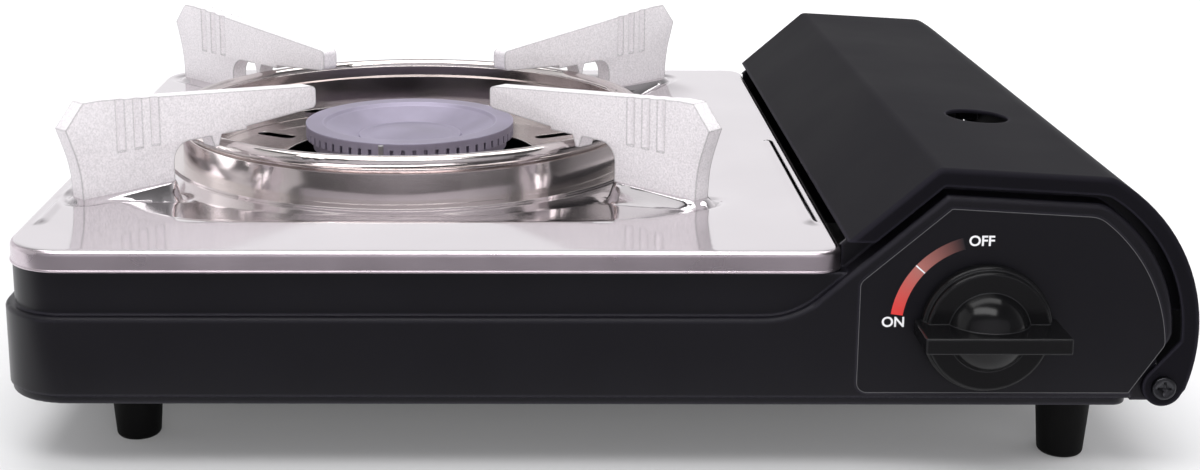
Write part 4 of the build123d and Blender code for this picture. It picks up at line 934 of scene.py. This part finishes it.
def seen_directly(tree):
    """1 for rays from the camera, off gloss and through glass, and 0 for the rest."""
    path = add_node(tree, "ShaderNodeLightPath").outputs
    both = arithmetic(tree, "MAXIMUM", path["Is Camera Ray"], path["Is Glossy Ray"])
    return arithmetic(tree, "MAXIMUM", both, path["Is Transmission Ray"])


def make_plane(name, low, high, level, tilt=0.0):
    """Flat card of the stage, lying between two plan corners or standing when tilted."""
    bm = bmesh.new()
    bmesh.ops.create_grid(bm, x_segments=1, y_segments=1, size=0.5)
    middle = ((low[0] + high[0]) / 2, (low[1] + high[1]) / 2, level)
    bmesh.ops.scale(bm, verts=bm.verts, vec=(high[0] - low[0], high[1] - low[1], 1.0))
    bmesh.ops.rotate(bm, verts=bm.verts, matrix=Matrix.Rotation(math.radians(tilt), 3, "X"))
    bmesh.ops.translate(bm, verts=bm.verts, vec=middle)
    mesh = bpy.data.meshes.new(name)
    bm.to_mesh(mesh)
    bm.free()
    card = bpy.data.objects.new(name, mesh)
    bpy.context.scene.collection.objects.link(card)
    return card


def make_floor(rgb):
    """Pale floor that keeps the stove's shadow, with its own glow weak near the stove as painted
    shade round it and bright away from it.
    """
    material, tree, shader = start_material("pale_floor")
    shader.inputs["Base Color"].default_value = shade(rgb, 1.0)
    shader.inputs["Roughness"].default_value = 0.9
    shader.inputs["Specular IOR Level"].default_value = 0.1
    shader.inputs["Emission Color"].default_value = (1.0, 1.0, 1.0, 1.0)
    away = {0: coordinates(tree)}
    far = add_node(tree, "ShaderNodeVectorMath", away, operation="LENGTH").outputs["Value"]
    glow = arithmetic(
        tree, "MULTIPLY", seen_directly(tree), remap(tree, far, *FLOOR_GLOW, *FLOOR_FADE))
    tree.links.new(glow, shader.inputs["Emission Strength"])
    floor = make_plane("floor", (-FLOOR_HALF, -FLOOR_HALF), (FLOOR_HALF, FLOOR_HALF), 0.0)
    floor.data.materials.append(material)


def make_cards():
    """Grey cards in front, out of the camera's sight, that the gloss and the polish mirror."""
    for name, low, high, level, tilt, grey in CARDS:
        card = make_plane(name, low, high, level, tilt)
        material, _, shader = start_material(name)
        shader.inputs["Base Color"].default_value = shade(CARD_TINT, grey)
        shader.inputs["Roughness"].default_value = 1.0
        card.data.materials.append(material)
        card.visible_camera = False
        card.visible_shadow = False
        card.visible_diffuse = False


def make_world(scene):
    """White surroundings at the back and low down, dark overhead and in front for the polish."""
    world = bpy.data.worlds.new("studio")
    world.use_nodes = True
    tree = world.node_tree
    shader = tree.nodes["Background"]
    shader.inputs["Color"].default_value = (0.96, 0.95, 0.97, 1.0)
    aim = add_node(tree, "ShaderNodeSeparateXYZ", {0: coordinates(tree, "Generated")}).outputs
    path = add_node(tree, "ShaderNodeLightPath").outputs
    overhead = remap(tree, aim["Z"], low=1.0, high=0.25, from_low=0.30, from_high=0.75)
    behind = remap(tree, aim["Y"], low=0.20, high=1.0, from_low=-0.05, from_high=0.45)
    mirrored = arithmetic(tree, "MULTIPLY", overhead, behind)
    unseen = remap(tree, path["Is Glossy Ray"], SCATTERED, mirrored, from_low=0.0, from_high=1.0)
    plain = arithmetic(tree, "MAXIMUM", path["Is Camera Ray"], path["Is Transmission Ray"])
    strength = remap(tree, plain, unseen, 1.0, from_low=0.0, from_high=1.0)
    tree.links.new(strength, shader.inputs["Strength"])
    scene.world = world


def make_lamps(scene):
    """Wide soft lamps above, in front and at each side, all aimed at the stove."""
    for name, place, size, power, mirrored in LAMPS:
        data = bpy.data.lights.new(name, "AREA")
        data.shape = "RECTANGLE"
        data.size, data.size_y = size
        data.energy = power
        lamp = bpy.data.objects.new(name, data)
        lamp.location = place
        aim = Vector(LAMP_AIM) - Vector(place)
        lamp.rotation_euler = aim.to_track_quat("-Z", "Y").to_euler()
        lamp.visible_camera = False
        lamp.visible_glossy = mirrored
        scene.collection.objects.link(lamp)


def make_camera(scene):
    """Camera above and in front, looking a little down."""
    data = bpy.data.cameras.new("camera")
    data.sensor_width = SENSOR_WIDTH
    data.lens = CAMERA_LENS
    data.shift_x, data.shift_y = CAMERA_SHIFT
    data.clip_start = CLIP_START
    camera = bpy.data.objects.new("camera", data)
    camera.location = CAMERA_PLACE
    camera.rotation_euler = (math.radians(90 - CAMERA_PITCH), 0.0, CAMERA_TURN)
    scene.collection.objects.link(camera)
    scene.camera = camera


# ---------------------------------------------------------------- panel and registration
class STOVE_PT_panel(bpy.types.Panel):
    """Sizes, colours and steps of the stove"""
    bl_idname = "STOVE_PT_panel"
    bl_label = "Cassette stove"
    bl_space_type = "VIEW_3D"
    bl_region_type = "UI"
    bl_category = "Stove"

    def draw(self, context):
        for group in (context.scene.stove_sizes, context.scene.stove_colours):
            column = self.layout.column(align=True)
            for name in group.bl_rna.properties.keys():
                if name not in ("rna_type", "name"):
                    column.prop(group, name)
        for step in STEPS:
            self.layout.operator(step.bl_idname)


STEPS = (
    STOVE_OT_body, STOVE_OT_feet, STOVE_OT_top_plate, STOVE_OT_ring, STOVE_OT_burner, STOVE_OT_arms,
    STOVE_OT_knob, STOVE_OT_dial, STOVE_OT_hinge_screws, STOVE_OT_inside, STOVE_OT_stage)
CLASSES = (StoveSizes, StoveColours) + STEPS + (STOVE_PT_panel,)


def register():
    for item in CLASSES:
        bpy.utils.register_class(item)
    bpy.types.Scene.stove_sizes = PointerProperty(type=StoveSizes)
    bpy.types.Scene.stove_colours = PointerProperty(type=StoveColours)


def unregister():
    del bpy.types.Scene.stove_sizes
    del bpy.types.Scene.stove_colours
    for item in reversed(CLASSES):
        bpy.utils.unregister_class(item)


def main():
    """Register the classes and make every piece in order."""
    register()
    for step in STEPS:
        group, name = step.bl_idname.split(".")
        getattr(getattr(bpy.ops, group), name)()


if __name__ == "__main__":
    main()
